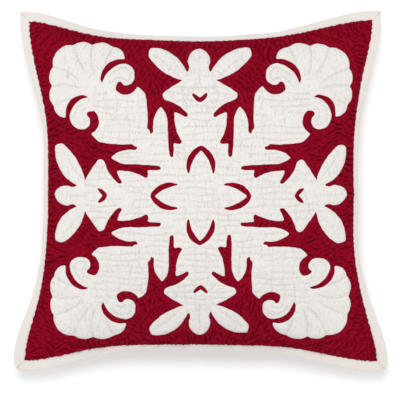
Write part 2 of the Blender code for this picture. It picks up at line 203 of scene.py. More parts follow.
easedPlaces = [  # x, y, across, up, reach
    (-160.0, 92.0, 1.0, 3.8, 34.0),
    (160.0, 92.0, -1.7, 5.7, 34.0),
    (105.0, -112.0, -4.3, 0.9, 44.0),
    (0.0, -148.0, -1.1, 5.9, 32.0),
    (0.0, 160.0, -2.1, -3.3, 46.0),
    (-80.0, -140.0, 0.4, 4.8, 46.0),
    (20.0, -80.0, -3.3, 2.6, 34.0),
    (140.0, -60.0, -2.1, -1.5, 46.0),
    (-160.0, 20.0, 0.2, -3.2, 34.0),
    (60.0, 140.0, -1.8, 0.7, 46.0),
    (-160.0, 160.0, 0.9, 3.5, 34.0),
    (-20.0, -100.0, 1.9, 2.2, 34.0),
    (160.0, 40.0, -0.9, -4.4, 34.0),
    (60.0, -160.0, -4.3, 6.3, 46.0),
    (140.0, -140.0, -3.3, 2.5, 34.0),
]


def arcPoints(start, end, bow, step):
    # from start up to not including end, bulging to the left by bow
    start, end = np.array(start, float), np.array(end, float)
    chord = end - start
    length = np.hypot(*chord)
    pieces = max(2, math.ceil(length / step))
    if abs(bow) < 0.05:
        return start + chord * (np.arange(pieces) / pieces)[:, None]
    radius = (length**2 / 4.0 + bow**2) / (2.0 * abs(bow))
    halfAngle = math.asin(min(1.0, length / (2.0 * radius)))
    left = np.array((-chord[1], chord[0])) / length * math.copysign(1.0, bow)
    centre = (start + end) / 2.0 - left * (radius - abs(bow))
    angle = (halfAngle * (2.0 * np.arange(pieces) / pieces - 1.0))[:, None]
    return centre + (chord / length * np.sin(angle) + left * np.cos(angle)) * radius


def quarterTurns(x, y, turns):
    for _ in range(turns):
        x, y = y, -x
    return x, y


def handCut(points):
    x, y = points[:, 0], points[:, 1]
    y = y * (1.0 - patternForm["sideArmSqueeze"] * x**2 / np.maximum(1.0, x**2 + y**2))
    moved = np.stack([x, y + patternForm["lift"]], axis=1)
    for placeX, placeY, across, up, reach in easedPlaces:
        share = np.exp(-((x - placeX) ** 2 + (y - placeY) ** 2) / reach**2)
        moved += share[:, None] * np.array((across, up))
    return moved


def evenly(line, step, closed, multiple=1):
    # the same line with points step apart, their number a multiple of the one asked for
    if closed:
        line = np.vstack([line, line[:1]])
    lengths = np.concatenate([[0.0], np.cumsum(np.hypot(*np.diff(line, axis=0).T))])
    count = max(2 if closed else 1, round(lengths[-1] / step / multiple)) * multiple
    at = np.linspace(0.0, lengths[-1], count + 1)
    if closed:
        at = at[:-1]
    return np.stack([np.interp(at, lengths, line[:, i]) for i in range(2)], axis=1)


def softened(line, spacing, radius):
    # rounds a closed line's corners to about the radius
    for _ in range(max(1, round((radius / spacing) ** 2 * 2.0))):
        line = 0.5 * line + 0.25 * (np.roll(line, 1, axis=0) + np.roll(line, -1, axis=0))
    return line


def signedArea(loop):
    after = np.roll(loop, -1, axis=0)
    return 0.5 * np.sum(loop[:, 0] * after[:, 1] - after[:, 0] * loop[:, 1])


def rightOf(directions):
    return np.stack([directions[:, 1], -directions[:, 0]], axis=1)


def leftOf(loop):
    return -rightOf(unit(np.roll(loop, -1, axis=0) - np.roll(loop, 1, axis=0)))


def cutLoop(corners, bows, whiteInside, phase):
    fine = patternForm["fineStep"]
    raw = np.vstack([
        arcPoints(start, end, bow, fine)
        for start, end, bow in zip(corners, corners[1:] + corners[:1], bows)
    ])
    loop = evenly(handCut(raw), fine, closed=True)
    loop = softened(loop, fine, patternForm["cornerRounding"])
    if (signedArea(loop) < 0.0) != whiteInside:  # the red is always to the left of travel
        loop = loop[::-1]
    at = np.arange(len(loop)) * (2.0 * math.pi / len(loop))
    waver = sum(
        np.sin(at * round(len(loop) * fine / wave) + phase + wave) * size
        for wave, size in patternForm["waves"]
    )
    loop += leftOf(loop) * (patternForm["bulge"] + waver * patternForm["waver"])[:, None]
    return evenly(loop, patternForm["edgeStep"], closed=True)


def patternLoops():
    corners, bows = [], []
    for turn in range(4):
        corners += [quarterTurns(off, along, turn) for along, off, _ in eightFold]
        corners += [quarterTurns(along, off, turn) for along, off, _ in eightFold[:0:-1]]
        bows += [row[2] for row in eightFold] + [row[2] for row in eightFold[-2::-1]]
    loops = [cutLoop(corners, bows, True, 0.0)]
    for turn in range(4):
        for rows in (crescent, chevron):
            right = [quarterTurns(off, along, turn) for along, off, _ in rows]
            left = [quarterTurns(-off, along, turn) for along, off, _ in rows[::-1]]
            corners = right + left[1:-1]
            bows = [row[2] for row in rows[:-1]] + [row[2] for row in rows[-2::-1]]
            loops.append(cutLoop(corners, bows, False, turn + len(loops) * 0.7))
    return loops


def insideLoops(points, loops):
    # even-odd test of many points at once, edge by edge over the points at its height
    order = np.argsort(points[:, 1], kind="stable")
    xs, ys = points[order, 0], points[order, 1]
    odd = np.zeros(len(points), bool)
    for loop in loops:
        for a, b in zip(loop, np.roll(loop, -1, axis=0)):
            first, last = np.searchsorted(ys, sorted((a[1], b[1])))
            if first < last:
                share = (ys[first:last] - a[1]) / (b[1] - a[1])
                odd[first:last] ^= xs[first:last] < a[0] + (b[0] - a[0]) * share
    result = np.empty_like(odd)
    result[order] = odd
    return result


# the seam's stations, which the cover's lip and the binding share

seamForm = {
    "step": 1.6,
    "tiltAtCorner": 5.0,
    "tiltFrom": 0.35,
    "tiltTo": 1.12,
    "tiltToByHeight": 0.13,
    "widerAtCorner": 0.04,
    "widerByHeight": -0.10,
}


def seamLoop():
    # the seam's stations, anticlockwise from the lower right corner
    perSide = round(2.0 * cushionForm["halfWidth"] / seamForm["step"])
    share = np.linspace(-1.0, 1.0, perSide + 1)[:-1]
    one = np.ones(perSide)
    u = np.concatenate([one, -share, -one, share])
    v = np.concatenate([share, one, -share, -one])
    plan = np.stack(seenFromAbove(u, v), axis=1)
    before = unit(plan - np.roll(plan, 1, axis=0))
    after = unit(np.roll(plan, -1, axis=0) - plan)
    side = rightOf(unit(before + after))
    acrossTilt = np.where(u > 0, sideForms["right"]["tilt"], sideForms["left"]["tilt"])
    upTilt = np.where(v > 0, sideForms["top"]["tilt"], sideForms["bottom"]["tilt"])
    liesBack = np.where(np.abs(u) > np.abs(v), acrossTilt, upTilt)
    tiltTo = seamForm["tiltTo"] + seamForm["tiltToByHeight"] * v
    cornerShare = smoothStep(seamForm["tiltFrom"], tiltTo, np.minimum(np.abs(u), np.abs(v)))
    tilt = np.radians(liesBack + (seamForm["tiltAtCorner"] - liesBack) * cornerShare)
    outward, up = bandDirections(side, tilt)
    return {
        "plan": plan,
        "middle": np.column_stack([plan, seamLevel(u, v)]),
        "comingSide": rightOf(before),  # flat outward directions before, after and at the station
        "goingSide": rightOf(after),
        "side": side,
        "outward": outward,
        "up": up,
        "tilt": tilt,
        "wider": 1.0 + (seamForm["widerAtCorner"] + seamForm["widerByHeight"] * v) * cornerShare**2,
        "corner": np.arange(len(plan)) % perSide == 0,
    }


def bandDirections(side, tilt):
    # the band's own outward and upward directions for a flat side direction and a tilt
    cos, sin = np.cos(tilt)[:, None], np.sin(tilt)[:, None]
    flat = np.concatenate([side, np.zeros((len(side), 1))], axis=1)
    zed = np.array((0.0, 0.0, 1.0))
    return flat * cos - zed * sin, flat * sin + zed * cos


def seamRings(seam, distances):
    # places inside the seam, in line with its stations
    return [seam["plan"] - seam["side"] * distance for distance in distances]


# the quilting: lines of stitches that echo the cut edge, rows in the wide places, shell ribs

quilting = {
    "redEchoes": (10.0, 20.0, 30.0, 40.0),  # distances out from the cut edge
    "whiteEchoes": (-5.2,),  # only in the curls
    "handWander": 0.55,  # how far a hand-sewn line wanders
    "wanderFrom": 9.0,  # and less nearer the cut edge than this
    "rowPitch": 7.8,  # level rows everywhere else on the white
    "rowWander": 1.5,
    "rowClear": 3.0,
    "rowGaps": 1.15,  # a row is left out where its unevenness passes this
    "columnPitch": 13.0,  # fainter upright lines cross the rows here and there
    "columnGaps": (24.0, -0.15),  # size of the gaps, and how few
    "curlPlace": (92.0, 144.0),  # off and along, in the folded pattern's first eighth
    "curlReach": 15.0,
    "ribStart": 0.02,  # in from the shell's notches, of the way to its hub
    "petalsFrom": (64.0, 137.0),
    "shellFrom": (100.0, 128.0),  # a shell is where both measures off the middle are over these
    "seamClear": 3.2,
    "vertexStep": 1.35,
    "redStep": 1.15,
    "whiteStep": 1.42,
    "gridStep": 1.0,  # of the field whose contours the lines are
    "gridMargin": 4.0,
    "lineApart": 0.85,  # least distances between places on lines, rings and, in steps, the grid
    "ringApart": 0.3,
    "gridApart": 0.66,
    "valley": -0.1,  # height of the cut edge against the smooth front
    "channels": {  # height, reach and how much painted shade it gets
        "red": (-0.80, 1.9, 1.0),
        "white": (-0.34, 1.0, 1.0),
        "column": (-0.26, 0.9, 0.6),
        "petal": (-0.22, 0.9, 0.6),
        "rib": (-0.80, 1.8, 1.3),
    },
    "loosest": (0.6, 0.3),  # the shares of height and painted shade that the loosest stitch has
    "unevenSize": 13.0,  # stitches are pulled more and less tightly in patches of this size
    "cutReach": 1.0,  # how far it holds the red down
    "seamLevel": 0.4,  # the same for the seam
    "seamReach": 2.4,
    "seamRings": (0.3, 0.75, 1.3, 2.0),  # the front is steep here
    "redRidge": 0.35,  # height between the lines
    "whiteRidge": 0.20,
    "shortestLine": 9.0,
}
petalAxes = [  # off and along at each end, then the bend
    ((0.0, 168.0), (0.0, 134.0), 0.0),
    ((55.0, 165.0), (21.0, 138.0), -1.5),
    ((46.5, 100.0), (47.0, 72.0), 0.0),
]


def placeTree(points):
    tree = KDTree(len(points))
    for i, (x, y) in enumerate(points.tolist()):
        tree.insert((x, y, 0.0), i)
    tree.balance()
    return tree


def nearestIn(tree, points):
    # number of and distance to the nearest place in a tree
    found = [tree.find((x, y, 0.0))[1:] for x, y in points.tolist()]
    index, distance = np.array(found).T
    return index.astype(int), distance


class EdgeMap:
    # distance to the nearest cut edge, below zero on the white side
    def __init__(self, loops):
        samples = [evenly(loop, patternForm["mapStep"], closed=True) for loop in loops]
        self.loops = loops
        self.places = np.vstack(samples)
        self.towardsRed = np.vstack([leftOf(loop) for loop in samples])
        self.tree = placeTree(self.places)

    def nearest(self, points):
        return nearestIn(self.tree, points)

    def signed(self, points):
        _, distance = self.nearest(points)
        return np.where(insideLoops(points, self.loops), -distance, distance)


def wander(points, size, seed):
    # smooth unevenness of a hand-worked line, the same each run
    x, y = points[..., 0], points[..., 1]
    rng = np.random.default_rng(seed)
    total = np.zeros(x.shape)
    for wave in (90.0, 55.0, 34.0, 21.0):
        turn, phase = rng.uniform(0.0, 2.0 * math.pi, 2)
        total += np.sin((x * math.cos(turn) + y * math.sin(turn)) * 2.0 * math.pi / wave + phase)
    return total * size / 2.0


def contourLines(field, xs, ys, level):
    # joined lines along which a gridded field has the level
    above = field > level
    step = xs[1] - xs[0]
    crossing, links = {}, {}
    corners = above[:-1, :-1].astype(int) + above[:-1, 1:] + above[1:, :-1] + above[1:, 1:]
    for j, i in np.argwhere((corners > 0) & (corners < 4)).tolist():
        cut = []
        for left, low, right in ((i, j, 1), (i + 1, j, 0), (i, j + 1, 1), (i, j, 0)):
            up = 1 - right
            if above[low, left] != above[low + up, left + right]:
                a, b = field[low, left], field[low + up, left + right]
                share = (level - a) / (b - a) * step
                crossing[left, low, up] = (xs[left] + right * share, ys[low] + up * share)
                cut.append((left, low, up))
        for a, b in zip(cut[::2], cut[1::2]):
            links.setdefault(a, []).append(b)
            links.setdefault(b, []).append(a)
    lines = []
    seen = set()
    starts = [key for key, ends in links.items() if len(ends) == 1] + list(links)
    for start in starts:
        if start in seen:
            continue
        line, here = [start], start
        seen.add(start)
        while True:
            onward = [key for key in links[here] if key not in seen]
            if not onward:
                break
            here = onward[0]
            seen.add(here)
            line.append(here)
        closed = len(line) > 3 and start in links[line[-1]]
        lines.append((np.array([crossing[key] for key in line]), closed))
    return lines


def runsWhere(line, keep, closed):
    # the stretches of a line whose points are kept
    if keep.all():
        return [(line, closed)]
    if closed and keep[0] and keep[-1]:
        shift = int(np.argmin(keep))
        line, keep = np.roll(line, -shift, axis=0), np.roll(keep, -shift)
    runs = []
    edges = np.flatnonzero(np.diff(np.concatenate([[0], keep.astype(int), [0]])))
    for first, last in zip(edges[::2], edges[1::2]):
        if last - first > 2:
            runs.append((line[first:last], False))
    return runs


def mirroredLines(rows):
    # lines given in the first eighth as (start, end, bend), repeated round the whole pattern
    made = []
    for start, end, bend in rows:
        line = np.vstack([arcPoints(start, end, bend, 1.0), end])
        halves = (line, line * (-1.0, 1.0)) if np.abs(line[:, 0]).max() > 0.1 else (line,)
        for turn in range(4):
            for half in halves:
                x, y = quarterTurns(half[:, 0], half[:, 1], turn)
                made.append(handCut(np.stack([x, y], axis=1)))
    return made


def shellRibs():
    rows = []
    for along, off, reach, bend in shellNotches:
        notch = np.array((off, along))
        towardsHub = shellHub - notch
        rows.append((notch + towardsHub * quilting["ribStart"], notch + towardsHub * reach, bend))
    return rows


def folded(points):
    # places moved into the pattern's first eighth: off, then along
    return np.sort(np.abs(points), axis=1)


def inCorner(points, least):
    # whether places lie out towards a corner, past both measures from the middle lines
    off, along = folded(points).T
    return (off > least[0]) & (along > least[1])


def inCurl(points):
    return np.linalg.norm(folded(points) - quilting["curlPlace"], axis=1) < quilting["curlReach"]


def rowsRun(line, edgeMap):
    # whether level rows are sewn at these places
    inside = insideLoops(line, edgeMap.loops)
    inside &= edgeMap.nearest(line)[1] > quilting["rowClear"]
    off, along = folded(line).T
    petals = (off < quilting["petalsFrom"][0]) & (along > quilting["petalsFrom"][1])
    inside &= ~petals & ~inCurl(line) & ~inCorner(line, quilting["shellFrom"])
    return inside & (wander(line, 1.0, 31) < quilting["rowGaps"])


def stitchLines(edgeMap, seamPlan):
    # every quilted line as (points, kind), its points a stitch's third apart
    margin = quilting["gridMargin"]
    low, high = seamPlan.min(axis=0) - margin, seamPlan.max(axis=0) + margin
    xs = np.arange(low[0], high[0], quilting["gridStep"])
    ys = np.arange(low[1], high[1], quilting["gridStep"])
    grid = np.stack(np.meshgrid(xs, ys), axis=-1)
    field = edgeMap.signed(grid.reshape(-1, 2)).reshape(grid.shape[:2])
    sway = wander(grid, quilting["handWander"], 11)
    seamTree = placeTree(seamPlan)
    found = []
    for level in quilting["redEchoes"] + quilting["whiteEchoes"]:
        kind = "red" if level > 0.0 else "white"
        swayed = field + sway * min(1.0, abs(level) / quilting["wanderFrom"])
        for line, closed in contourLines(swayed, xs, ys, level):
            keep = nearestIn(seamTree, line)[1] > quilting["seamClear"]
            keep &= insideLoops(line, [seamPlan])
            if kind == "white":
                keep &= inCurl(line)
            found += [run + (kind,) for run in runsWhere(line, keep, closed)]
    rowSway = wander(grid, quilting["rowWander"], 12)
    gapSize, least = quilting["columnGaps"]
    for kind, axis in (("white", 1), ("column", 0)):
        pitch = quilting["columnPitch" if kind == "column" else "rowPitch"]
        most = math.ceil(high[axis] / pitch)
        for number in range(-most, most):
            level = grid[..., axis] + rowSway - (number + 0.5) * pitch
            for line, closed in contourLines(level, xs, ys, 0.0):
                keep = rowsRun(line, edgeMap)
                if kind == "column":
                    keep &= valueNoise(line, gapSize, 61) > least
                found += [run + (kind,) for run in runsWhere(line, keep, closed)]
    found += [(line, False, "petal") for line in mirroredLines(petalAxes)]
    found += [(line, False, "rib") for line in mirroredLines(shellRibs())]
    return [
        (evenly(line, quilting["vertexStep"], closed, multiple=3), kind)
        for line, closed, kind in found
        if np.hypot(*np.diff(line, axis=0).T).sum() > quilting["shortestLine"]
    ]


class PlanPoints:
    # places for vertices, each kept only where none lies too near
    cell = 1.6  # more than any spacing asked for

    def __init__(self):
        self.cells = {}
        self.points = []

    def near(self, i, j):
        for key in ((i + a, j + b) for a in (-1, 0, 1) for b in (-1, 0, 1)):
            yield from self.cells.get(key, ())

    def add(self, points, spacing=0.0):
        # the number of each place, or -1 where it isn't kept
        taken = []
        for x, y in points.tolist():
            i, j = int(x // self.cell), int(y // self.cell)
            free = spacing == 0.0 or all(
                (px - x) ** 2 + (py - y) ** 2 >= spacing * spacing for px, py in self.near(i, j))
            if free:
                self.cells.setdefault((i, j), []).append((x, y))
                self.points.append((x, y))
            taken.append(len(self.points) - 1 if free else -1)
        return np.array(taken)


def hexGrid(step, around):
    # even triangles of places over the extent of the others
    low, high = around.min(axis=0), around.max(axis=0)
    rows = np.arange(low[1], high[1], step * 0.866)
    x, y = np.meshgrid(np.arange(low[0], high[0], step), rows)
    x = x + 0.5 * step * (np.arange(len(rows)) % 2)[:, None]
    return np.stack([x.ravel(), y.ravel()], axis=1)


def triangulated(plan, loops, within=None):
    # triangles inside the loops, or within others; the plan's first places are the loops' own
    edges, first = [], 0
    for loop in loops:
        edges += [(first + i, first + (i + 1) % len(loop)) for i in range(len(loop))]
        first += len(loop)
    out = delaunay_2d_cdt([Vector(place) for place in plan.tolist()], edges, [], 0, 1e-6)
    assert len(out[0]) == len(plan)
    faces = np.array(out[2])
    return faces[insideLoops(plan[faces].mean(axis=1), within or loops)]


# the front as one sewn sheet, settled by cloth simulation between its stitches

settling = {
    "frames": 18,
    "quality": 3,
    "scaleUp": 20.0,  # the solver prefers cloth of this size
    "vertexMass": 0.03,
    "stiffness": 15.0,
    "bending": 2.0,
    "pressure": 9.0,
    "redSpare": 0.045,  # cloth left over between stitches, which puckers
    "whiteSpare": 0.014,
    "whitePressure": 0.3,  # of the pressure under the red
    "farthest": 1.5,
    "redFolds": (0.98, 3.3, 4.4),  # height, half length and spacing of the small folds at the start
    "whiteFolds": (0.22, 4.2, 3.4),
    "foldWander": 0.55,  # how unevenly they point
    "redField": (0.75, 0.35),  # how they turn on the diagonals, and how gradually
    "whiteTurns": 7.0,  # they are square to the cut edge within this
    "foldGrain": 0.45,  # of their spacing
    "foldShape": 0.7,  # more makes them broader on top
    "crossFolds": 0.38,  # fainter folds crossing the others at this angle
    "crossTurn": 1.15,
    "foldPatches": (0.35, 16.0),  # they are higher and lower in patches, by this much of this size
    "smoothEdge": 2.0,  # the red beside the white cloth has none
    "seamFolds": (0.75, 11.0),  # they grow towards the seam, by this much from this far
    "seamFades": 1.3,
    "seamHolds": 5.0,  # the seam keeps the cloth from moving this far in
    "foldsAtStitches": 0.5,
}
shading = {  # painted shade: how much the cloth's colour is darkened in its hollows, creases and stitched lines
    "aroundRounds": 8,  # how far round a place its hollowness is judged
    "hollowDepth": 0.45,
    "edgeShade": (3.6, 0.8),  # reach and strength of the painted shadow beside the white cloth
    # painted shade in the seam's crevice
    "seamShade": (4.5, 0.75),
    "edgesCover": 0.6,  # how much these hide the other hollows
    "evenShare": 0.65,  # the rest goes with how tightly the stitches are pulled
    "stitchShade": (0.85, 0.85),  # reach and strength at the stitches
    "lineShade": (0.95, 0.32),  # and all along their line
    "redLineShade": (1.1, 1.5),
    "wrinkleShade": 0.24,
}


def meshEdges(faces):
    pairs = np.vstack([faces[:, (0, 1)], faces[:, (1, 2)], faces[:, (2, 0)]])
    pairs.sort(axis=1)
    return np.unique(pairs, axis=0)


def spread(values, edges, rounds):
    # averages each value with its neighbours'
    count = len(values)
    a, b = edges.T
    total = 1.0 + np.bincount(a, None, count) + np.bincount(b, None, count)
    for _ in range(rounds):
        values = (values + np.bincount(a, values[b], count) + np.bincount(b, values[a], count)) / total
    return values


def valueNoise(points, cell, seed):
    # smooth random values, one to each cell's corner
    table = np.random.default_rng(seed).standard_normal((256, 256))
    at = points / cell + 128.0
    first = np.floor(at).astype(int)
    share = smoothStep(0.0, 1.0, at - first)
    i, j = (first % 256).T
    iNext, jNext = (i + 1) % 256, (j + 1) % 256
    low = table[i, j] * (1.0 - share[:, 0]) + table[iNext, j] * share[:, 0]
    high = table[i, jNext] * (1.0 - share[:, 0]) + table[iNext, jNext] * share[:, 0]
    return low * (1.0 - share[:, 1]) + high * share[:, 1]


def creases(points, angle, halfLength, spacing, seed):
    # small folds that run along the angles, broad on top and narrow at the bottom
    along = np.stack([np.cos(angle), np.sin(angle)], axis=1)
    across = along[:, ::-1] * (-0.5 * spacing, 0.5 * spacing)
    grain = settling["foldGrain"] * spacing
    total = np.zeros(len(points))
    for step in np.linspace(-1.0, 1.0, 13):
        place = points + along * (step * halfLength)
        aside = [valueNoise(place + across * side, grain, seed) for side in (-1.0, 1.0)]
        middle = valueNoise(place, grain, seed)
        total += math.exp(-2.0 * step * step) * (middle - 0.5 * (aside[0] + aside[1]))
    folds = -np.log1p(np.exp(-settling["foldShape"] * total / total.std()))
    return (folds - folds.mean()) / folds.std()


class SewnFront:
    def __init__(self):
        self.seam = seamLoop()
        self.loops = patternLoops()
        self.edgeMap = EdgeMap(self.loops)
        self.lines = stitchLines(self.edgeMap, self.seam["plan"])
        report("drew the pattern and its quilting lines")
        self.layOut()
        report(f"laid out {len(self.plan)} places on the front")

    def layOut(self):
        seamPlan = self.seam["plan"]
        places = PlanPoints()
        for loop in [seamPlan] + self.loops:
            places.add(loop)
        self.seamCount, self.cutCount = len(seamPlan), len(places.points)
        sewn, channel, along = [], [], []
        for line, kind in self.lines:
            taken = places.add(line, quilting["lineApart"])
            along += [(x, y, quilting["channels"][kind][2]) for x, y in line.tolist()]
            down = np.arange(len(line)) % 3 != 2  # a stitch, then a gap
            taken = taken[down & (taken >= 0)].tolist()
            sewn += taken
            channel += [quilting["channels"][kind]] * len(taken)
        for ring in seamRings(self.seam, quilting["seamRings"]):
            places.add(ring, quilting["ringApart"])
        for step, onWhite in ((quilting["redStep"], False), (quilting["whiteStep"], True)):
            grid = hexGrid(step, seamPlan)
            grid = grid[insideLoops(grid, [seamPlan])]
            grid = grid[insideLoops(grid, self.loops) == onWhite]
            places.add(grid, quilting["gridApart"] * step)
        self.plan = np.array(places.points)
        self.sewn, self.channel, self.along = np.array(sewn), np.array(channel), np.array(along)
        self.faces = triangulated(self.plan, [seamPlan] + self.loops, within=[seamPlan])
        self.edges = meshEdges(self.faces)
        self.whiteFace = insideLoops(self.plan[self.faces].mean(axis=1), self.loops)
        self.base, self.normal = frontFrame(self.plan)
        self.signed = self.edgeMap.signed(self.plan)
        self.signed[self.seamCount:self.cutCount] = 0.0
        self.white = self.signed < 0.0

    def foldAngles(self):
        # red folds lie level towards the left and right sides and upright towards the other two;
        # white ones are square to the cut edge beside it and upright, across the rows, elsewhere
        x, y = self.plan.T
        slant, gradual = settling["redField"]
        red = 0.5 * np.arctan2(-2.0 * x * y * slant, x * x - y * y + gradual * np.abs(x * y))
        towards = self.edgeMap.towardsRed[self.edgeMap.nearest(self.plan)[0]]
        square = 2.0 * np.arctan2(towards[:, 1], towards[:, 0])
        share = fade(self.signed, settling["whiteTurns"])
        white = 0.5 * np.arctan2(share * np.sin(square), share * np.cos(square) - (1.0 - share))
        uneven = settling["foldWander"] * wander(self.plan, 1.0, 21)
        return uneven + np.where(self.white, white, red)

    def anchors(self):
        # height, reach and painted shade of the sheet at each place that is sewn down
        cut = np.tile((quilting["valley"], quilting["cutReach"], 0.0), (self.cutCount, 1))
        cut[:self.seamCount, :2] = quilting["seamLevel"], quilting["seamReach"]
        tight = 0.5 + 0.5 * self.pull[self.sewn]
        low, pale = quilting["loosest"]
        tight = np.column_stack([low + (1.0 - low) * tight, np.ones(len(tight)),
                                 pale + (1.0 - pale) * tight])
        return np.vstack([cut, self.channel * tight])

    def smallFolds(self, rise):
        # the small folds at the start, and how much of their height each place has
        least = settling["foldsAtStitches"]
        size = least + (1.0 - least) * rise
        size *= np.where(self.white, 1.0, 1.0 - fade(self.signed, settling["smoothEdge"]))
        seamFolds, seamReach = settling["seamFolds"]
        size *= 1.0 + seamFolds * fade(self.fromSeam, seamReach)
        size *= 1.0 - fade(self.fromSeam, settling["seamFades"])
        uneven, patch = settling["foldPatches"]
        size *= 1.0 + uneven * np.tanh(valueNoise(self.plan, patch, 42))
        angle = self.foldAngles()
        folds = np.zeros(len(self.plan))
        for chosen, values, seed in ((~self.white, "redFolds", 5), (self.white, "whiteFolds", 6)):
            _, halfLength, spacing = settling[values]
            at, turn = self.plan[chosen], angle[chosen]
            folds[chosen] = creases(at, turn, halfLength, spacing, seed)
            folds[chosen] += settling["crossFolds"] * creases(
                at, turn + settling["crossTurn"], halfLength, spacing, seed + 50)
        return folds, size

    def settle(self):
        # the displaced places, their heights over the smooth front and the painted shade each gets
        held = np.concatenate([np.arange(self.cutCount), self.sewn])
        anchor, fromHeld = nearestIn(placeTree(self.plan[held]), self.plan)
        self.fromSeam = nearestIn(placeTree(self.seam["plan"]), self.plan)[1]
        self.pull = np.tanh(valueNoise(self.plan, quilting["unevenSize"], 41))
        depth, reach, dark = self.anchors()[anchor].T
        rise = 1.0 - fade(fromHeld, reach)
        ridge = np.where(self.white, quilting["whiteRidge"], quilting["redRidge"])
        folds, size = self.smallFolds(rise)
        tall = np.where(self.white, settling["whiteFolds"][0], settling["redFolds"][0])
        height = depth + (ridge - depth) * rise + tall * (folds * size)
        height[self.seamCount:self.cutCount] = quilting["valley"]
        start = self.base + self.normal * height[:, None]
        start[:self.seamCount] = self.seamLip()
        self.places = start
        moved = self.simulated(start, held) - start
        free = np.clip(self.fromSeam / settling["seamHolds"], 0.0, 1.0)
        self.places = start + moved * free[:, None]
        report("settled the front by cloth simulation")
        self.heights = np.sum((self.places - self.base) * self.normal, axis=1)
        self.heights[:self.seamCount] = 0.0
        self.shade(folds, dark, fromHeld)

    def shade(self, folds, dark, fromHeld):
        # painted shade: the red is darkened where it lies low, beside the white cloth, by the seam and
        # along its lines; the white along its stitches and folds
        around = spread(self.heights, self.edges, shading["aroundRounds"])
        sunk = (around - self.heights) / shading["hollowDepth"]
        for far, values in ((self.signed, "edgeShade"), (self.fromSeam, "seamShade")):
            reach, strength = shading[values]
            sunk += fade(far, reach) * (strength - shading["edgesCover"] * sunk)
        near, aside = nearestIn(placeTree(self.along[:, :2]), self.plan)
        tight = shading["evenShare"] + (1.0 - shading["evenShare"]) * self.pull
        lineReach, lineStrength = shading["lineShade"]
        stitchReach, stitchStrength = shading["stitchShade"]
        redReach, redStrength = shading["redLineShade"]
        stitched = lineStrength * tight * self.along[near, 2] * fade(aside, lineReach)
        stitched += stitchStrength * dark * fade(fromHeld, stitchReach)
        stitched += shading["wrinkleShade"] * np.maximum(0.0, -folds)
        sunk += redStrength * tight * self.along[near, 2] * fade(aside, redReach)
        self.hollow = np.clip(np.where(self.white, stitched, sunk), 0.0, 1.0)

    def seamLip(self):
        # the front's edge, tucked under the binding
        seam = self.seam
        return seam["middle"] + seam["outward"] * coverForm["tuck"] + seam["up"] * coverForm["tuckHeight"]

    def simulated(self, start, held):
        big = settling["scaleUp"] * metres
        mesh = bpy.data.meshes.new("sewnSheet")
        mesh.from_pydata((start * big).tolist(), [], self.faces.tolist())
        sheet = addToScene("sewnSheet", mesh)
        red, white = np.flatnonzero(~self.white), np.flatnonzero(self.white)
        for name, chosen, weight in (
            ("sewnDown", held, 1.0), ("white", white, 1.0),
            ("puffed", red, 1.0), ("puffed", white, settling["whitePressure"]),
        ):
            group = sheet.vertex_groups.get(name) or sheet.vertex_groups.new(name=name)
            group.add(chosen.tolist(), weight, "REPLACE")
        cloth = sheet.modifiers.new("cloth", "CLOTH")
        rules = cloth.settings
        rules.quality = settling["quality"]
        rules.mass = settling["vertexMass"]
        rules.tension_stiffness = rules.compression_stiffness = settling["stiffness"]
        rules.shear_stiffness = settling["stiffness"] / 3.0
        rules.bending_stiffness = settling["bending"]
        rules.vertex_group_mass = "sewnDown"
        rules.vertex_group_shrink = "white"
        rules.shrink_min = -settling["redSpare"]
        rules.shrink_max = -settling["whiteSpare"]
        rules.use_pressure = True
        rules.vertex_group_pressure = "puffed"
        rules.uniform_pressure_force = settling["pressure"]
        rules.effector_weights.gravity = 0.0
        cloth.collision_settings.use_collision = False
        cloth.collision_settings.use_self_collision = False
        cloth.point_cache.frame_start = 1
        cloth.point_cache.frame_end = settling["frames"]
        scene = bpy.context.scene
        for step in range(1, settling["frames"] + 1):
            scene.frame_set(step)
        settled = sheet.evaluated_get(bpy.context.evaluated_depsgraph_get()).to_mesh()
        flat = np.empty(len(start) * 3)
        settled.vertices.foreach_get("co", flat)
        scene.frame_set(1)
        bpy.data.objects.remove(sheet, do_unlink=True)
        moved = flat.reshape(-1, 3) / big - start
        far = np.linalg.norm(moved, axis=1)
        moved *= (np.minimum(far, settling["farthest"]) / np.maximum(far, 1e-9))[:, None]
        report(f"cloth moved {far.mean():.2f} mm on average and {far.max():.2f} mm at most")
        return start + moved


# helpers that turn points into meshes

def addToScene(name, data):
    made = bpy.data.objects.new(name, data)
    bpy.context.scene.collection.objects.link(made)
    return made


def meshObject(name, points, faces, place, **masks):
    # points in millimetres; place is where each lay on the flat cloth, masks run from 0 to 1
    mesh = bpy.data.meshes.new(name)
    mesh.from_pydata((points * metres).tolist(), [], faces.tolist())
    attribute = mesh.attributes.new("clothPlace", "FLOAT_VECTOR", "POINT")
    flat = np.column_stack([place, np.zeros(len(place))])
    attribute.data.foreach_set("vector", (flat * metres).astype(np.float32).ravel())
    for mask, values in masks.items():
        attribute = mesh.attributes.new(mask, "FLOAT", "POINT")
        attribute.data.foreach_set("value", values.astype(np.float32))
    mesh.shade_smooth()
    mesh.validate()
    return addToScene(name, mesh)


def underSheet(front, around, step, height, cutFirst, total):
    # a plain sheet hidden between the cloths, as new places of a mesh that has some so far;
    # its edge is the mesh's own cut edge, which begins at cutFirst
    places = PlanPoints()
    for loop in front.loops:
        places.add(loop)
    cut = len(places.points)
    grid = hexGrid(step, around)
    grid = grid[insideLoops(grid, front.loops)]
    places.add(grid[-front.edgeMap.signed(grid) > 0.45 * step])  # clear of the cut edge
    plan = np.array(places.points)
    faces = triangulated(plan, front.loops)
    base, normal = frontFrame(plan[cut:])
    return plan[cut:], base + normal * height, np.where(faces < cut, faces + cutFirst,
                                                        faces - cut + total)


# the cover: quilted red front, plain back, both held in the seam

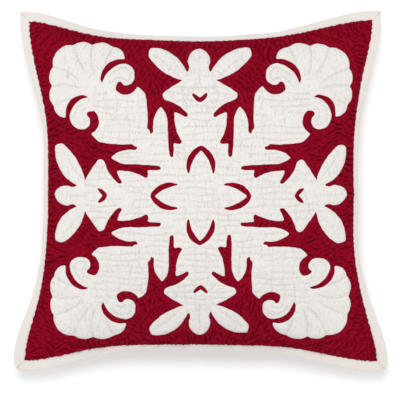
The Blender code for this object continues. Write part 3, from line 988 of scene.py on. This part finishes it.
coverForm = {
    "hiddenStep": 4.5,  # under the white cloth
    "hiddenDrop": -0.6,
    "tuck": 1.5,  # the front goes this far under the binding
    "tuckHeight": 0.5,
    "backStep": 5.5,
    "backRings": (1.2, 2.6, 4.4, 7.0, 10.5),
    "ringApart": 1.1,  # least distances between places
    "gridApart": 1.5,
    "gatherHeight": 0.9,  # folds of the back where the seam draws it in
    "gatherPitch": 15.0,
    "gatherUneven": 2.5,
    "gatherFrom": 5.0,  # they are full this far in and then fade
    "gatherReach": 26.0,
    # painted shade in the hollows of the back's gathers
    "gatherShade": 0.2,
    "restsBelow": 6.0,  # no folds where it lies on the floor
    "fill": 0.75,
    "finish": {
        "colour": (0.292, 0.0036, 0.0185, 1.0),
        "hollowColour": (0.120, 0.0010, 0.0080, 1.0),
        "hollows": 0.40,  # how much of the painted shade colour shows
        "weavePitch": 0.00042,  # in metres
        "weaveDepth": 0.00006,
        "patches": 0.10,
        "flecks": 0.10,
        "wearAndHighlight": 0.0,
        "specular": 0.02,
        "sheen": 0.03,
        "sheenTint": (0.6, 0.02, 0.05, 1.0),
    },
}


def backPanel(front):
    # the plain back: plan, points, faces and painted shade, its first places the seam's
    seam, count = front.seam, front.seamCount
    places = PlanPoints()
    places.add(seam["plan"])
    for ring in seamRings(seam, coverForm["backRings"]):
        places.add(ring, coverForm["ringApart"])
    grid = hexGrid(coverForm["backStep"], seam["plan"])
    places.add(grid[insideLoops(grid, [seam["plan"]])], coverForm["gridApart"])
    plan = np.array(places.points)
    x, y = plan.T
    station, away = nearestIn(placeTree(seam["plan"]), plan)
    turns = station * seamForm["step"] * 2.0 * math.pi / coverForm["gatherPitch"]
    fold = np.sin(turns + coverForm["gatherUneven"] * wander(plan, 1.0, 7))
    bottom = backHeight(x, y)
    lifted = np.clip(bottom / coverForm["restsBelow"], 0.0, 1.0)
    share = np.clip(away / coverForm["gatherFrom"], 0.0, 1.0) * np.exp(-away / coverForm["gatherReach"])
    gathers = lifted * share * fold
    points = np.column_stack([x, y, bottom + gathers * coverForm["gatherHeight"]])
    points[:count] = seam["middle"] - seam["up"] * 0.5 * cushionForm["seamThickness"]
    faces = triangulated(plan, [seam["plan"]])[:, ::-1]
    # the gathers' hollows get painted shade
    return plan, points, faces, -coverForm["gatherShade"] * gathers


def makeCover(front):
    count, total = front.seamCount, len(front.places)
    hiddenPlan, hiddenPoints, hiddenFaces = underSheet(
        front, front.seam["plan"], coverForm["hiddenStep"],
        quilting["valley"] + coverForm["hiddenDrop"], count, total)
    backPlan, backPoints, backFaces, backHollow = backPanel(front)
    first = total + len(hiddenPlan)
    here = np.arange(count)
    after = np.roll(here, -1)
    strip = np.stack([after, here, first + here, after, first + here, first + after], axis=1)
    faces = np.vstack([front.faces[~front.whiteFace], hiddenFaces, first + backFaces,
                       strip.reshape(-1, 3)])
    points = np.vstack([front.places, hiddenPoints, backPoints])
    plan = np.vstack([front.plan, hiddenPlan, backPlan])
    # the hidden sheet gets the full painted shade
    hollow = np.concatenate([front.hollow, np.ones(len(hiddenPlan)), backHollow])
    used = np.unique(faces)
    number = np.full(len(points), -1)
    number[used] = np.arange(len(used))
    cover = meshObject("cushionCover", points[used], number[faces], plan[used],
                       hollow=np.clip(hollow[used], 0.0, 1.0))
    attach(cover, "root")
    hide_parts("cushion")
    report(f"made the cover, {len(faces)} triangles")
    return cover


# the white cloth, turned under at its cut edge and sewn down

appliqueForm = {
    "thickness": 0.6,
    "rings": (0.05, 0.3, 0.85),
    "ringApart": 0.1,
    "insideFrom": 1.15,  # the front's own places are used from here in
    "roundOver": 0.12,  # the turned edge's rounding, inwards
    "edgeLift": 0.05,
    "crispAngle": 50.0,
    "stitchEvery": 3,  # vertices along the edge
    "stitchDent": (0.20, 0.7),  # depth and reach
    "underStep": 4.5,
    "underDrop": -0.3,
    # reach of the painted highlight and wear in from the turned edge
    "wornAndLitReach": 1.2,
    "ease": 1.0,  # the cut cloth is this much larger than it lies
    "finish": {
        "colour": (0.880, 0.846, 0.813, 1.0),
        # painted shade colour of the white's creases and stitches
        "hollowColour": (0.58, 0.49, 0.45, 1.0),
        "hollows": 0.55,
        "weavePitch": 0.00040,  # in metres
        "weaveDepth": 0.00005,
        "patches": 0.02,
        "flecks": 0.03,
        "wearAndHighlight": 0.2,
        "specular": 0.15,
        "sheen": 0.05,
        "sheenTint": (1.0, 1.0, 1.0, 1.0),
    },
}


def turnedEdge(loops):
    # the cut edge and rings of places close inside it: plan, depth in and where stitches pull
    places = PlanPoints()
    pulls = [np.arange(len(loop)) % appliqueForm["stitchEvery"] == 0 for loop in loops]
    for loop in loops:
        places.add(loop)
    depths, pulled = [np.zeros(len(places.points))], list(pulls)
    for loop, pull in zip(loops, pulls):
        for depth in appliqueForm["rings"]:
            ring = loop - leftOf(loop) * depth
            inside = insideLoops(ring, loops)
            taken = places.add(ring[inside], appliqueForm["ringApart"]) >= 0
            depths.append(np.full(taken.sum(), depth))
            pulled.append(pull[inside][taken])
    return np.array(places.points), np.concatenate(depths), np.concatenate(pulled)


def makeApplique(front):
    edge, edgeDepth, pulled = turnedEdge(front.loops)
    turned = len(edge)
    later = np.arange(len(front.plan)) >= front.cutCount
    inner = np.flatnonzero((front.signed < -appliqueForm["insideFrom"]) & later)
    plan = np.vstack([edge, front.plan[inner]])
    faces = triangulated(plan, front.loops)
    base, normal = frontFrame(plan)
    depth = np.concatenate([edgeDepth, -front.signed[inner]])
    height = np.concatenate([np.full(turned, quilting["valley"]), front.heights[inner]])
    over = np.clip(1.0 - depth / appliqueForm["roundOver"], 0.0, 1.0)
    lift = appliqueForm["thickness"] * np.sqrt(1.0 - over**2)
    dent, dentReach = appliqueForm["stitchDent"]
    lift[:turned] -= dent * pulled * fade(edgeDepth, dentReach) * (edgeDepth > 0.0)
    points = base + normal * (height + lift)[:, None]
    slid = front.places - (front.base + front.normal * front.heights[:, None])
    points[turned:] += slid[inner]
    points[:turned] += normal[:turned] * appliqueForm["edgeLift"]
    underPlan, underPoints, underFaces = underSheet(
        front, plan, appliqueForm["underStep"],
        quilting["valley"] + appliqueForm["underDrop"], 0, len(points))
    under = np.ones(len(underPlan))
    faces = np.vstack([faces, underFaces[:, ::-1]])
    # painted shade: the front's, none along the turned edge, full on the hidden sheet below
    cloth = meshObject(
        "whiteApplique", np.vstack([points, underPoints]), faces, np.vstack([plan, underPlan]),
        hollow=np.concatenate([np.zeros(turned), front.hollow[inner], under]),
        wornEdge=np.concatenate([fade(depth, appliqueForm["wornAndLitReach"]), 0.0 * under]))
    cloth.data.set_sharp_from_angle(angle=math.radians(appliqueForm["crispAngle"]))
    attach(cloth, "root")
    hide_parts("applique")
    report(f"made the applique, {len(faces)} triangles")
    return cloth


# the binding: a folded band over the raw edge, mitred at each corner

bindingForm = {
    "width": 11.8,
    "section": [  # out from the seam, height over the band's middle, for the upper half
        (-0.4, 0.25), (-0.3, 0.8), (0.05, 1.16), (0.8, 1.34), (2.0, 1.38), (3.6, 1.34),
        (5.4, 1.27), (7.2, 1.19), (8.9, 1.10), (10.2, 0.98), (11.0, 0.78), (11.5, 0.5),
        (11.76, 0.2),
    ],
    "inside": [(-0.4, 0.08), (2.2, 0.42), (7.0, 0.34), (10.4, 0.12)],  # the strip's inner face
    "cornerReach": 1.21,
    "cornerReachByHeight": -0.15,
    "fanSteps": 14,  # stations round each corner
    "fanPower": 1.5,  # they are closer by the mitre
    "mitreGroove": 0.75,
    "mitreRise": 0.15,  # of the groove at the seam; the rest comes towards the tip
    "mitreWidth": 0.045,  # of the turn
    "stitchEvery": 2,
    "stitchDent": (0.28, 0.6, 1.3),  # depth, place out from the seam and reach
    "puckers": (0.20, 3.2, 2.8),  # height, place and reach
    "puckerPitch": 8.5,
    "puckerWander": 3.0,
    "edgeWave": 0.45,
    "seamWave": (0.75, 0.0, 1.4),  # the seam between two stitches bows this much
    "seamWavePitch": 7.2,
    "hollowAtSeam": (0.08, 1.2),  # share and reach of the painted shade by the seam; the rest of it is painted in the mitre folds
    # reach of the painted highlight and wear along the folded edge
    "wornAndLitReach": 0.9,
    "backPlace": 30.0,  # sets the weave behind apart from the weave in front
    "finish": appliqueForm["finish"] | {"colour": (0.858, 0.803, 0.762, 1.0), "hollows": 0.60},
}


def bandStations(seam):
    # middle, flat outward direction, tilt, reach, mitre, turn and number of each station
    stations = []
    for i, middle in enumerate(seam["middle"]):
        tilt, wider = seam["tilt"][i], seam["wider"][i]
        if not seam["corner"][i]:
            stations.append((middle, seam["side"][i], tilt, wider, 0.0, 0.0, i))
            continue
        byHeight = math.copysign(bindingForm["cornerReachByHeight"], middle[1])
        tipReach = bindingForm["cornerReach"] + byHeight
        power = math.log(2.0) / math.log(math.sqrt(2.0) / tipReach)
        even = np.linspace(-1.0, 1.0, bindingForm["fanSteps"] * 2 + 1)
        for t in 0.5 + 0.5 * np.sign(even) * np.abs(even) ** bindingForm["fanPower"]:
            cos, sin = math.cos(t * math.pi / 2.0), math.sin(t * math.pi / 2.0)
            reach = wider * (cos**power + sin**power) ** (-1.0 / power)
            side = seam["comingSide"][i] * cos + seam["goingSide"][i] * sin
            side /= np.linalg.norm(side)
            groove = fade(t - 0.5, bindingForm["mitreWidth"])
            stations.append((middle, side, tilt, reach, groove, 4.0 * t * (1.0 - t), i))
    return stations


def swell(values, out):
    # a height or depth that is full at a place out from the seam and fades around it
    size, place, reach = bindingForm[values]
    return size * fade(out - place, reach)


def makeBinding(front):
    middle, side, tilt, reach, groove, turn, number = map(np.array, zip(*bandStations(front.seam)))
    outward, up = bandDirections(side, tilt)
    upper, width = bindingForm["section"], bindingForm["width"]
    outer = upper + [(width, 0.0)] + [(out, -height) for out, height in upper[::-1]]
    inner = bindingForm["inside"]
    section = np.array(outer + [(out, -height) for out, height in inner] + inner[::-1])
    stitch = (number % bindingForm["stitchEvery"] == 0) & (groove < 0.01)
    wave = wander(middle[:, :2], bindingForm["edgeWave"], 23)
    phase = bindingForm["puckerWander"] * wander(middle[:, :2], 1.0, 29)
    at = number * seamForm["step"]
    pucker = np.sin(at * 2.0 * math.pi / bindingForm["puckerPitch"] + phase) * (1.0 - turn)
    bow = np.sin(at * 2.0 * math.pi / bindingForm["seamWavePitch"] - phase) * (1.0 - turn)
    rows, places = [], []
    for k, (out, height) in enumerate(section):
        far, high, back = out * reach, np.full(len(at), height), 0.0
        if k < len(outer):
            share = max(0.0, out) / width
            depth = bindingForm["mitreRise"] + (1.0 - bindingForm["mitreRise"]) * share
            depth *= bindingForm["mitreGroove"] * min(1.0, abs(height))
            sunk = swell("stitchDent", out) * stitch - swell("puckers", out) * pucker + depth * groove
            high += wave * share**2 - math.copysign(1.0, height) * sunk
            far += swell("seamWave", out) * bow
            back = 0.0 if height >= 0.0 else bindingForm["backPlace"]
        rows.append(middle + outward * far[:, None] + up * high[:, None])
        places.append(np.column_stack([at, np.full(len(at), out + back)]))
    count, around = len(at), len(section)
    points = np.stack(rows, axis=1).reshape(-1, 3)
    plan = np.stack(places, axis=1).reshape(-1, 2)
    here = np.arange(count * around).reshape(count, around)
    ahead = np.roll(here, -1, axis=0)
    quads = np.stack([here, np.roll(here, -1, axis=1), np.roll(ahead, -1, axis=1), ahead], axis=-1)
    # painted shade by the seam and in the mitre folds
    seamShare, seamReach = bindingForm["hollowAtSeam"]
    hollow = seamShare * np.tile(np.exp(-np.maximum(0.0, section[:, 0]) / seamReach), count)
    hollow += (1.0 - seamShare) * np.repeat(groove, around)
    edge = np.tile(fade(section[:, 0] - width, bindingForm["wornAndLitReach"]), count)
    band = meshObject("edgeBinding", points, quads.reshape(-1, 4), plan, hollow=hollow, wornEdge=edge)
    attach(band, "root")
    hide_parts("binding")
    report(f"made the binding, {2 * count * around} triangles")
    return band


# sewing threads, each set of stitches one joined mesh

threadForm = {
    "quiltRadius": 0.21,
    "quiltReach": 0.36,  # of the space between stitches, to each side of its middle
    "hemRadius": 0.14,
    "sides": 5,
    # share of the length, height and girth of each ring
    "profile": ((0.0, -0.34, 0.5), (0.22, 0.10, 1.0), (0.78, 0.10, 1.0), (1.0, -0.34, 0.5)),
    "hemOut": (0.35, 0.05),  # out from the cut edge, and height
    "hemIn": (0.55, 0.48),
    "edgingIn": (0.75, 1.25),  # in from the binding's edge, and height
    "edgingOut": (0.45, 1.12),
    "redColour": (0.25, 0.003, 0.016, 1.0),
    "redSpecular": 0.1,
    "whiteColour": (0.80, 0.775, 0.745, 1.0),
    "whiteSpecular": 0.2,
    "twistPitch": 0.0005,  # in metres
    "twistDepth": 0.00005,
    "twistStrength": 0.7,
    "plyShade": 0.82,
    "roughness": 0.7,
}


def threadMesh(name, starts, ends, normals, radius, slot):
    # short bowed threads from start to end, their ends drawn into the cloth
    length = np.linalg.norm(ends - starts, axis=1, keepdims=True)
    along = (ends - starts) / length
    side = unit(np.cross(normals, along))
    up = np.cross(along, side)
    sides, profile = threadForm["sides"], threadForm["profile"]
    rings, places = [], []
    for t, rise, girth in profile:
        centre = starts + along * length * t + up * rise
        for k in range(sides):
            angle = 2.0 * math.pi * k / sides
            rings.append(centre + (side * math.cos(angle) + up * math.sin(angle)) * radius * girth)
            places.append(np.column_stack([length[:, 0] * t, np.full(len(starts), angle * radius)]))
    one = []
    for ring in range(len(profile) - 1):
        for k in range(sides):
            a, b = ring * sides + k, ring * sides + (k + 1) % sides
            one += [(a, b, b + sides), (a, b + sides, a + sides)]
    last = (len(profile) - 1) * sides
    for k in range(1, sides - 1):
        one += [(0, k + 1, k), (last, last + k, last + k + 1)]
    faces = np.array(one)[None] + (np.arange(len(starts)) * len(rings))[:, None, None]
    points = np.stack(rings, axis=1).reshape(-1, 3)
    place = np.stack(places, axis=1).reshape(-1, 2)
    made = meshObject(name, points, faces.reshape(-1, 3), place)
    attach(made, "root")
    report(f"made {name}, {len(starts)} stitches")
    return made


def makeQuiltingThread(front, name, kinds, lift, slot):
    firsts, seconds = [], []
    for line, kind in front.lines:
        if kind in kinds:
            firsts.append(line[:-1:3])
            seconds.append(line[1::3][:len(firsts[-1])])
    a, b = np.vstack(firsts), np.vstack(seconds)
    middle = (a + b) / 2.0
    reach = (b - a) * (threadForm["quiltReach"] * 3.0 / 2.0)  # three steps for a stitch and its gap
    height = front.heights[nearestIn(placeTree(front.plan), middle)[0]] + lift
    ends = []
    for place in (middle - reach, middle + reach):
        base, normal = frontFrame(place)
        ends.append(base + normal * height[:, None])
    return threadMesh(name, *ends, normal, threadForm["quiltRadius"], slot)


def makeHemThread(front):
    every = appliqueForm["stitchEvery"]
    picked = np.vstack([loop[::every] for loop in front.loops])
    outward = np.vstack([leftOf(loop)[::every] for loop in front.loops])
    (out, low), (inward, high) = threadForm["hemOut"], threadForm["hemIn"]
    lowBase, _ = frontFrame(picked + outward * out)
    highBase, normal = frontFrame(picked - outward * inward)
    lowEnd = lowBase + normal * (quilting["valley"] + low)
    highEnd = highBase + normal * (quilting["valley"] + high)
    return threadMesh("hemStitches", lowEnd, highEnd, normal, threadForm["hemRadius"], "white_cotton")


def makeBindingThread(front):
    seam = front.seam
    picked = np.arange(0, len(seam["plan"]), bindingForm["stitchEvery"])
    picked = picked[~seam["corner"][picked]]
    middle, outward, up = (seam[name][picked] for name in ("middle", "outward", "up"))
    (inward, high), (out, low) = threadForm["edgingIn"], threadForm["edgingOut"]
    inner = middle - outward * inward + up * high
    outer = middle + outward * out + up * low
    return threadMesh("bindingStitches", inner, outer, up, threadForm["hemRadius"], "binding_cotton")


# materials

clothLook = {
    "driftScale": 420.0,  # threads wander from their rows
    "drift": 1.6,
    "over": 0.35,  # how high a thread stands that lies over another
    "ribs": 0.5,
    "slubScale": 900.0,
    "slub": 0.35,
    "patchScale": 22.0,
    "fleckScale": 1500.0,
    # painted shade between the threads
    "threadGapShade": 0.08,
    "smoothest": 0.80,
    "roughPatches": 0.12,
    "wornAndLitScale": 260.0,
    "wornAndLitColour": (0.93, 0.92, 0.90, 1.0),
    "sheenRoughness": 0.5,
}


def nodeGroup(name, inputs, outputs):
    group = bpy.data.node_groups.new(name, "ShaderNodeTree")
    for label, kind, value in inputs:
        socket = group.interface.new_socket(label, in_out="INPUT", socket_type="NodeSocket" + kind)
        if value is not None:
            socket.default_value = value
    for label, kind in outputs:
        group.interface.new_socket(label, in_out="OUTPUT", socket_type="NodeSocket" + kind)
    given, out = group.nodes.new("NodeGroupInput"), group.nodes.new("NodeGroupOutput")
    return group, given.outputs, out.inputs


def setInput(tree, socket, value):
    if isinstance(value, bpy.types.NodeSocket):
        tree.links.new(value, socket)
    else:
        socket.default_value = value


def addMath(tree, operation, *values):
    node = tree.nodes.new("ShaderNodeMath")
    node.operation = operation
    for socket, value in zip(node.inputs, values):
        setInput(tree, socket, value)
    return node.outputs[0]


def addNoise(tree, place, scale, detail):
    node = tree.nodes.new("ShaderNodeTexNoise")
    node.inputs["Scale"].default_value = scale
    node.inputs["Detail"].default_value = detail
    tree.links.new(place, node.inputs["Vector"])
    return node.outputs[0]


def swing(tree, noise, amount):
    # a noise about nothing, this much in all
    return addMath(tree, "MULTIPLY", addMath(tree, "SUBTRACT", noise, 0.5), amount)


def addMix(tree, factor, first, second):
    # a colour mix; its colour sockets share their names with others, so they go by number
    node = tree.nodes.new("ShaderNodeMix")
    node.data_type = "RGBA"
    for number, value in ((0, factor), (6, first), (7, second)):
        setInput(tree, node.inputs[number], value)
    return node.outputs[2]


def addBump(tree, height, strength, distance, shader):
    node = tree.nodes.new("ShaderNodeBump")
    node.inputs["Strength"].default_value = strength
    node.inputs["Distance"].default_value = distance
    tree.links.new(height, node.inputs["Height"])
    tree.links.new(node.outputs["Normal"], shader.inputs["Normal"])


def addAttribute(tree, name, output="Fac"):
    node = tree.nodes.new("ShaderNodeAttribute")
    node.attribute_name = name
    return node.outputs[output]


def makeWeaveGroup():
    # over-and-under threads and their slubs: Height, and Thread, which is low between threads
    tree, given, out = nodeGroup(
        "plainWeave",
        [("Place", "Vector", None), ("Pitch", "Float", 0.0004), ("Slub", "Float", clothLook["slub"])],
        [("Height", "Float"), ("Thread", "Float")],
    )
    place = given["Place"]
    split = tree.nodes.new("ShaderNodeSeparateXYZ")
    tree.links.new(place, split.inputs[0])
    drift = swing(tree, addNoise(tree, place, clothLook["driftScale"], 2.0), clothLook["drift"])
    turns = addMath(tree, "DIVIDE", math.pi, given["Pitch"])
    across = addMath(tree, "ADD", addMath(tree, "MULTIPLY", split.outputs[0], turns), drift)
    up = addMath(tree, "SUBTRACT", addMath(tree, "MULTIPLY", split.outputs[1], turns), drift)
    sinA, sinB = addMath(tree, "SINE", across), addMath(tree, "SINE", up)
    over = addMath(tree, "MULTIPLY", addMath(tree, "MULTIPLY", sinA, sinB), clothLook["over"])
    ribs = addMath(tree, "MAXIMUM", addMath(tree, "ABSOLUTE", sinA), addMath(tree, "ABSOLUTE", sinB))
    body = addMath(tree, "ADD", over, addMath(tree, "MULTIPLY", ribs, clothLook["ribs"]))
    rough = swing(tree, addNoise(tree, place, clothLook["slubScale"], 1.0), given["Slub"])
    tree.links.new(addMath(tree, "ADD", body, rough), out["Height"])
    tree.links.new(ribs, out["Thread"])
    return tree


def makeVariationAndShadeGroup():
    # cotton is never one flat colour: broad patches and fine flecks; painted shade darkens the stitched
    # hollows and the gaps between threads
    tree, given, out = nodeGroup(
        "clothVariationAndShade",
        [("Place", "Vector", None), ("Colour", "Color", (1, 1, 1, 1)), ("Patches", "Float", 0.06),
         ("Flecks", "Float", 0.05), ("Hollow", "Float", 0.0), ("Depth", "Float", 0.3),
         ("Shade", "Color", (0.5, 0.5, 0.5, 1)), ("Thread", "Float", 1.0),
         ("ThreadGapShade", "Float", clothLook["threadGapShade"])],
        [("Colour", "Color"), ("Roughness", "Float")],
    )
    patches = addNoise(tree, given["Place"], clothLook["patchScale"], 3.0)
    flecks = addNoise(tree, given["Place"], clothLook["fleckScale"], 1.0)
    patchy, flecky = swing(tree, patches, given["Patches"]), swing(tree, flecks, given["Flecks"])
    gap = addMath(tree, "MULTIPLY", addMath(tree, "SUBTRACT", 1.0, given["Thread"]), given["ThreadGapShade"])
    light = addMath(tree, "ADD", addMath(tree, "ADD", patchy, flecky), 1.0)
    sunk = addMath(tree, "MULTIPLY", given["Hollow"], given["Depth"])
    scale = tree.nodes.new("ShaderNodeVectorMath")
    scale.operation = "SCALE"
    tree.links.new(addMix(tree, sunk, given["Colour"], given["Shade"]), scale.inputs[0])
    tree.links.new(addMath(tree, "SUBTRACT", light, gap), scale.inputs["Scale"])
    tree.links.new(scale.outputs[0], out["Colour"])
    rough = addMath(tree, "MULTIPLY", patches, clothLook["roughPatches"])
    tree.links.new(addMath(tree, "ADD", rough, clothLook["smoothest"]), out["Roughness"])
    return tree


def makeWearAndHighlightGroup():
    # folded edges are lighter: painted highlight where they catch the light, and rubbed wear
    tree, given, out = nodeGroup(
        "edgeWearAndHighlight",
        [("Colour", "Color", (1, 1, 1, 1)), ("Edge", "Float", 0.0), ("Place", "Vector", None),
         ("Amount", "Float", 0.1)],
        [("Colour", "Color")],
    )
    broken = addNoise(tree, given["Place"], clothLook["wornAndLitScale"], 3.0)
    worn = addMath(tree, "MULTIPLY", addMath(tree, "MULTIPLY", given["Edge"], broken), given["Amount"])
    tree.links.new(addMix(tree, worn, given["Colour"], clothLook["wornAndLitColour"]), out["Colour"])
    return tree


def placeGroup(tree, group, **values):
    node = tree.nodes.new("ShaderNodeGroup")
    node.node_tree = group
    for label, value in values.items():
        setInput(tree, node.inputs[label], value)
    return node.outputs


def newMaterial(name):
    material = bpy.data.materials.new(name)
    material.use_nodes = True
    return material, material.node_tree, material.node_tree.nodes["Principled BSDF"]


def clothMaterial(name, groups, finish):
    material, tree, shader = newMaterial(name)
    place = addAttribute(tree, "clothPlace", "Vector")
    weave = placeGroup(tree, groups["weave"], Place=place, Pitch=finish["weavePitch"])
    varied = placeGroup(
        tree, groups["variationAndShade"], Place=place, Colour=finish["colour"], Shade=finish["hollowColour"],
        Patches=finish["patches"], Flecks=finish["flecks"], Thread=weave["Thread"],
        Hollow=addAttribute(tree, "hollow"), Depth=finish["hollows"])
    colour = varied["Colour"]
    if finish["wearAndHighlight"]:
        colour = placeGroup(tree, groups["wearAndHighlight"], Colour=colour, Place=place,
                            Edge=addAttribute(tree, "wornEdge"), Amount=finish["wearAndHighlight"])["Colour"]
    addBump(tree, weave["Height"], 1.0, finish["weaveDepth"], shader)
    tree.links.new(colour, shader.inputs["Base Color"])
    tree.links.new(varied["Roughness"], shader.inputs["Roughness"])
    shader.inputs["Specular IOR Level"].default_value = finish["specular"]
    shader.inputs["Sheen Weight"].default_value = finish["sheen"]
    shader.inputs["Sheen Roughness"].default_value = clothLook["sheenRoughness"]
    shader.inputs["Sheen Tint"].default_value = finish["sheenTint"]
    return material


def threadMaterial(name, colour, specular):
    # twisted sewing cotton
    material, tree, shader = newMaterial(name)
    split = tree.nodes.new("ShaderNodeSeparateXYZ")
    tree.links.new(addAttribute(tree, "clothPlace", "Vector"), split.inputs[0])
    slanted = addMath(tree, "ADD", split.outputs[0], split.outputs[1])
    turns = addMath(tree, "MULTIPLY", slanted, 2.0 * math.pi / threadForm["twistPitch"])
    twist = addMath(tree, "SINE", turns)
    addBump(tree, twist, threadForm["twistStrength"], threadForm["twistDepth"], shader)
    # the grooves between the twist's plies get painted shade
    shaded = tuple(threadForm["plyShade"] * part for part in colour[:3]) + (1.0,)
    ply = addMix(tree, addMath(tree, "MULTIPLY_ADD", twist, 0.5, 0.5), shaded, colour)
    tree.links.new(ply, shader.inputs["Base Color"])
    shader.inputs["Roughness"].default_value = threadForm["roughness"]
    shader.inputs["Specular IOR Level"].default_value = specular
    return material


# camera, light and floor

studio = {  # in metres
    "cameraAway": 2.350,
    "cameraTilt": 4.5,  # degrees off straight down, towards the top edge
    "lens": 176.25,
    "sensor": 36.0,
    "clipEnd": 20.0,
    "aim": (-0.0011, -0.0086, 0.045),
    "lights": {  # place, size, power and whether only the cushion is lit
        "key": ((-0.10, 0.98, 2.1), 1.15, 26.0, False),
        "fill": ((0.1, -1.5, 1.6), 1.6, 12.4, True),
        "left": ((-1.7, 0.1, 0.65), 1.2, 5.8, True),
        "right": ((1.7, 0.1, 0.65), 1.2, 5.3, True),
    },
    "air": 0.32,
    "floorHalf": 4.0,
    "floorLevel": -0.0006,
    "floorColour": (0.87, 0.93, 0.93, 1.0),
    "floorGlow": 0.46,
    "floorRoughness": 0.9,
    "floorSpecular": 0.1,
}
plainWhite = (1.0, 1.0, 1.0, 1.0)


def makeCamera():
    tilt = math.radians(studio["cameraTilt"])
    camera = addToScene("camera", bpy.data.cameras.new("camera"))
    aim = Vector(studio["aim"])
    towards = Vector((0.0, math.sin(tilt), math.cos(tilt)))
    camera.location = Vector((0.0, 0.0, aim.z)) + towards * studio["cameraAway"]
    back = (camera.location - aim).normalized()
    right = Vector((0.0, 1.0, 0.0)).cross(back).normalized()
    camera.rotation_euler = Matrix((right, back.cross(right), back)).transposed().to_euler()
    camera.data.lens = studio["lens"]
    camera.data.sensor_width = studio["sensor"]
    camera.data.clip_end = studio["clipEnd"]
    bpy.context.scene.camera = camera


def makeLights():
    # gives the collection that the fill lights are kept to
    cushionOnly = bpy.data.collections.new("litByFills")
    for name, (place, size, power, onlyCushion) in studio["lights"].items():
        light = bpy.data.lights.new(name, "AREA")
        light.shape = "DISK"
        light.size = size
        light.energy = power
        lamp = addToScene(name, light)
        lamp.location = place
        lamp.rotation_euler = (-lamp.location).to_track_quat("-Z", "Y").to_euler()
        if onlyCushion:
            lamp.light_linking.receiver_collection = cushionOnly
    world = bpy.data.worlds.new("studioAir")
    world.use_nodes = True
    background = world.node_tree.nodes["Background"]
    background.inputs["Color"].default_value = plainWhite
    background.inputs["Strength"].default_value = studio["air"]
    bpy.context.scene.world = world
    return cushionOnly


def makeFloor():
    mesh = bpy.data.meshes.new("floor")
    corners = [(x * studio["floorHalf"], y * studio["floorHalf"], studio["floorLevel"])
               for x, y in ((-1, -1), (1, -1), (1, 1), (-1, 1))]
    mesh.from_pydata(corners, [], [(0, 1, 2, 3)])
    floor = addToScene("floor", mesh)
    material, _, shader = newMaterial("palePaper")
    shader.inputs["Base Color"].default_value = studio["floorColour"]
    shader.inputs["Roughness"].default_value = studio["floorRoughness"]
    shader.inputs["Specular IOR Level"].default_value = studio["floorSpecular"]
    shader.inputs["Emission Color"].default_value = plainWhite
    shader.inputs["Emission Strength"].default_value = studio["floorGlow"]
    mesh.materials.append(material)


# the whole cushion

def makeCushion(front):
    cover, applique, band = makeCover(front), makeApplique(front), makeBinding(front)
    redThread = makeQuiltingThread(front, "redQuilting", ("red",), 0.0, "red_cotton")
    whiteThread = makeQuiltingThread(front, "whiteQuilting", ("white", "column", "petal", "rib"),
                                     appliqueForm["thickness"], "white_cotton")
    hem, edging = makeHemThread(front), makeBindingThread(front)
    groups = {"weave": makeWeaveGroup(), "variationAndShade": makeVariationAndShadeGroup(), "wearAndHighlight": makeWearAndHighlightGroup()}
    red = threadForm["redColour"], threadForm["redSpecular"]
    white = threadForm["whiteColour"], threadForm["whiteSpecular"]
    return {
        cover: clothMaterial("redCotton", groups, coverForm["finish"]),
        applique: clothMaterial("whiteCotton", groups, appliqueForm["finish"]),
        band: clothMaterial("bindingCotton", groups, bindingForm["finish"]),
        redThread: threadMaterial("redThread", *red),
        whiteThread: threadMaterial("whiteThread", *white),
        hem: threadMaterial("hemThread", *white),
        edging: threadMaterial("bindingThread", *white),
    }


makeCamera()
litByFills = makeLights()
makeFloor()
bpy.context.scene.view_settings.view_transform = "Standard"
report("set the camera, lights and floor")
sewnFront = SewnFront()
sewnFront.settle()
for piece, material in makeCushion(sewnFront).items():
    piece.data.materials.append(material)
    litByFills.objects.link(piece)
report("finished the materials")
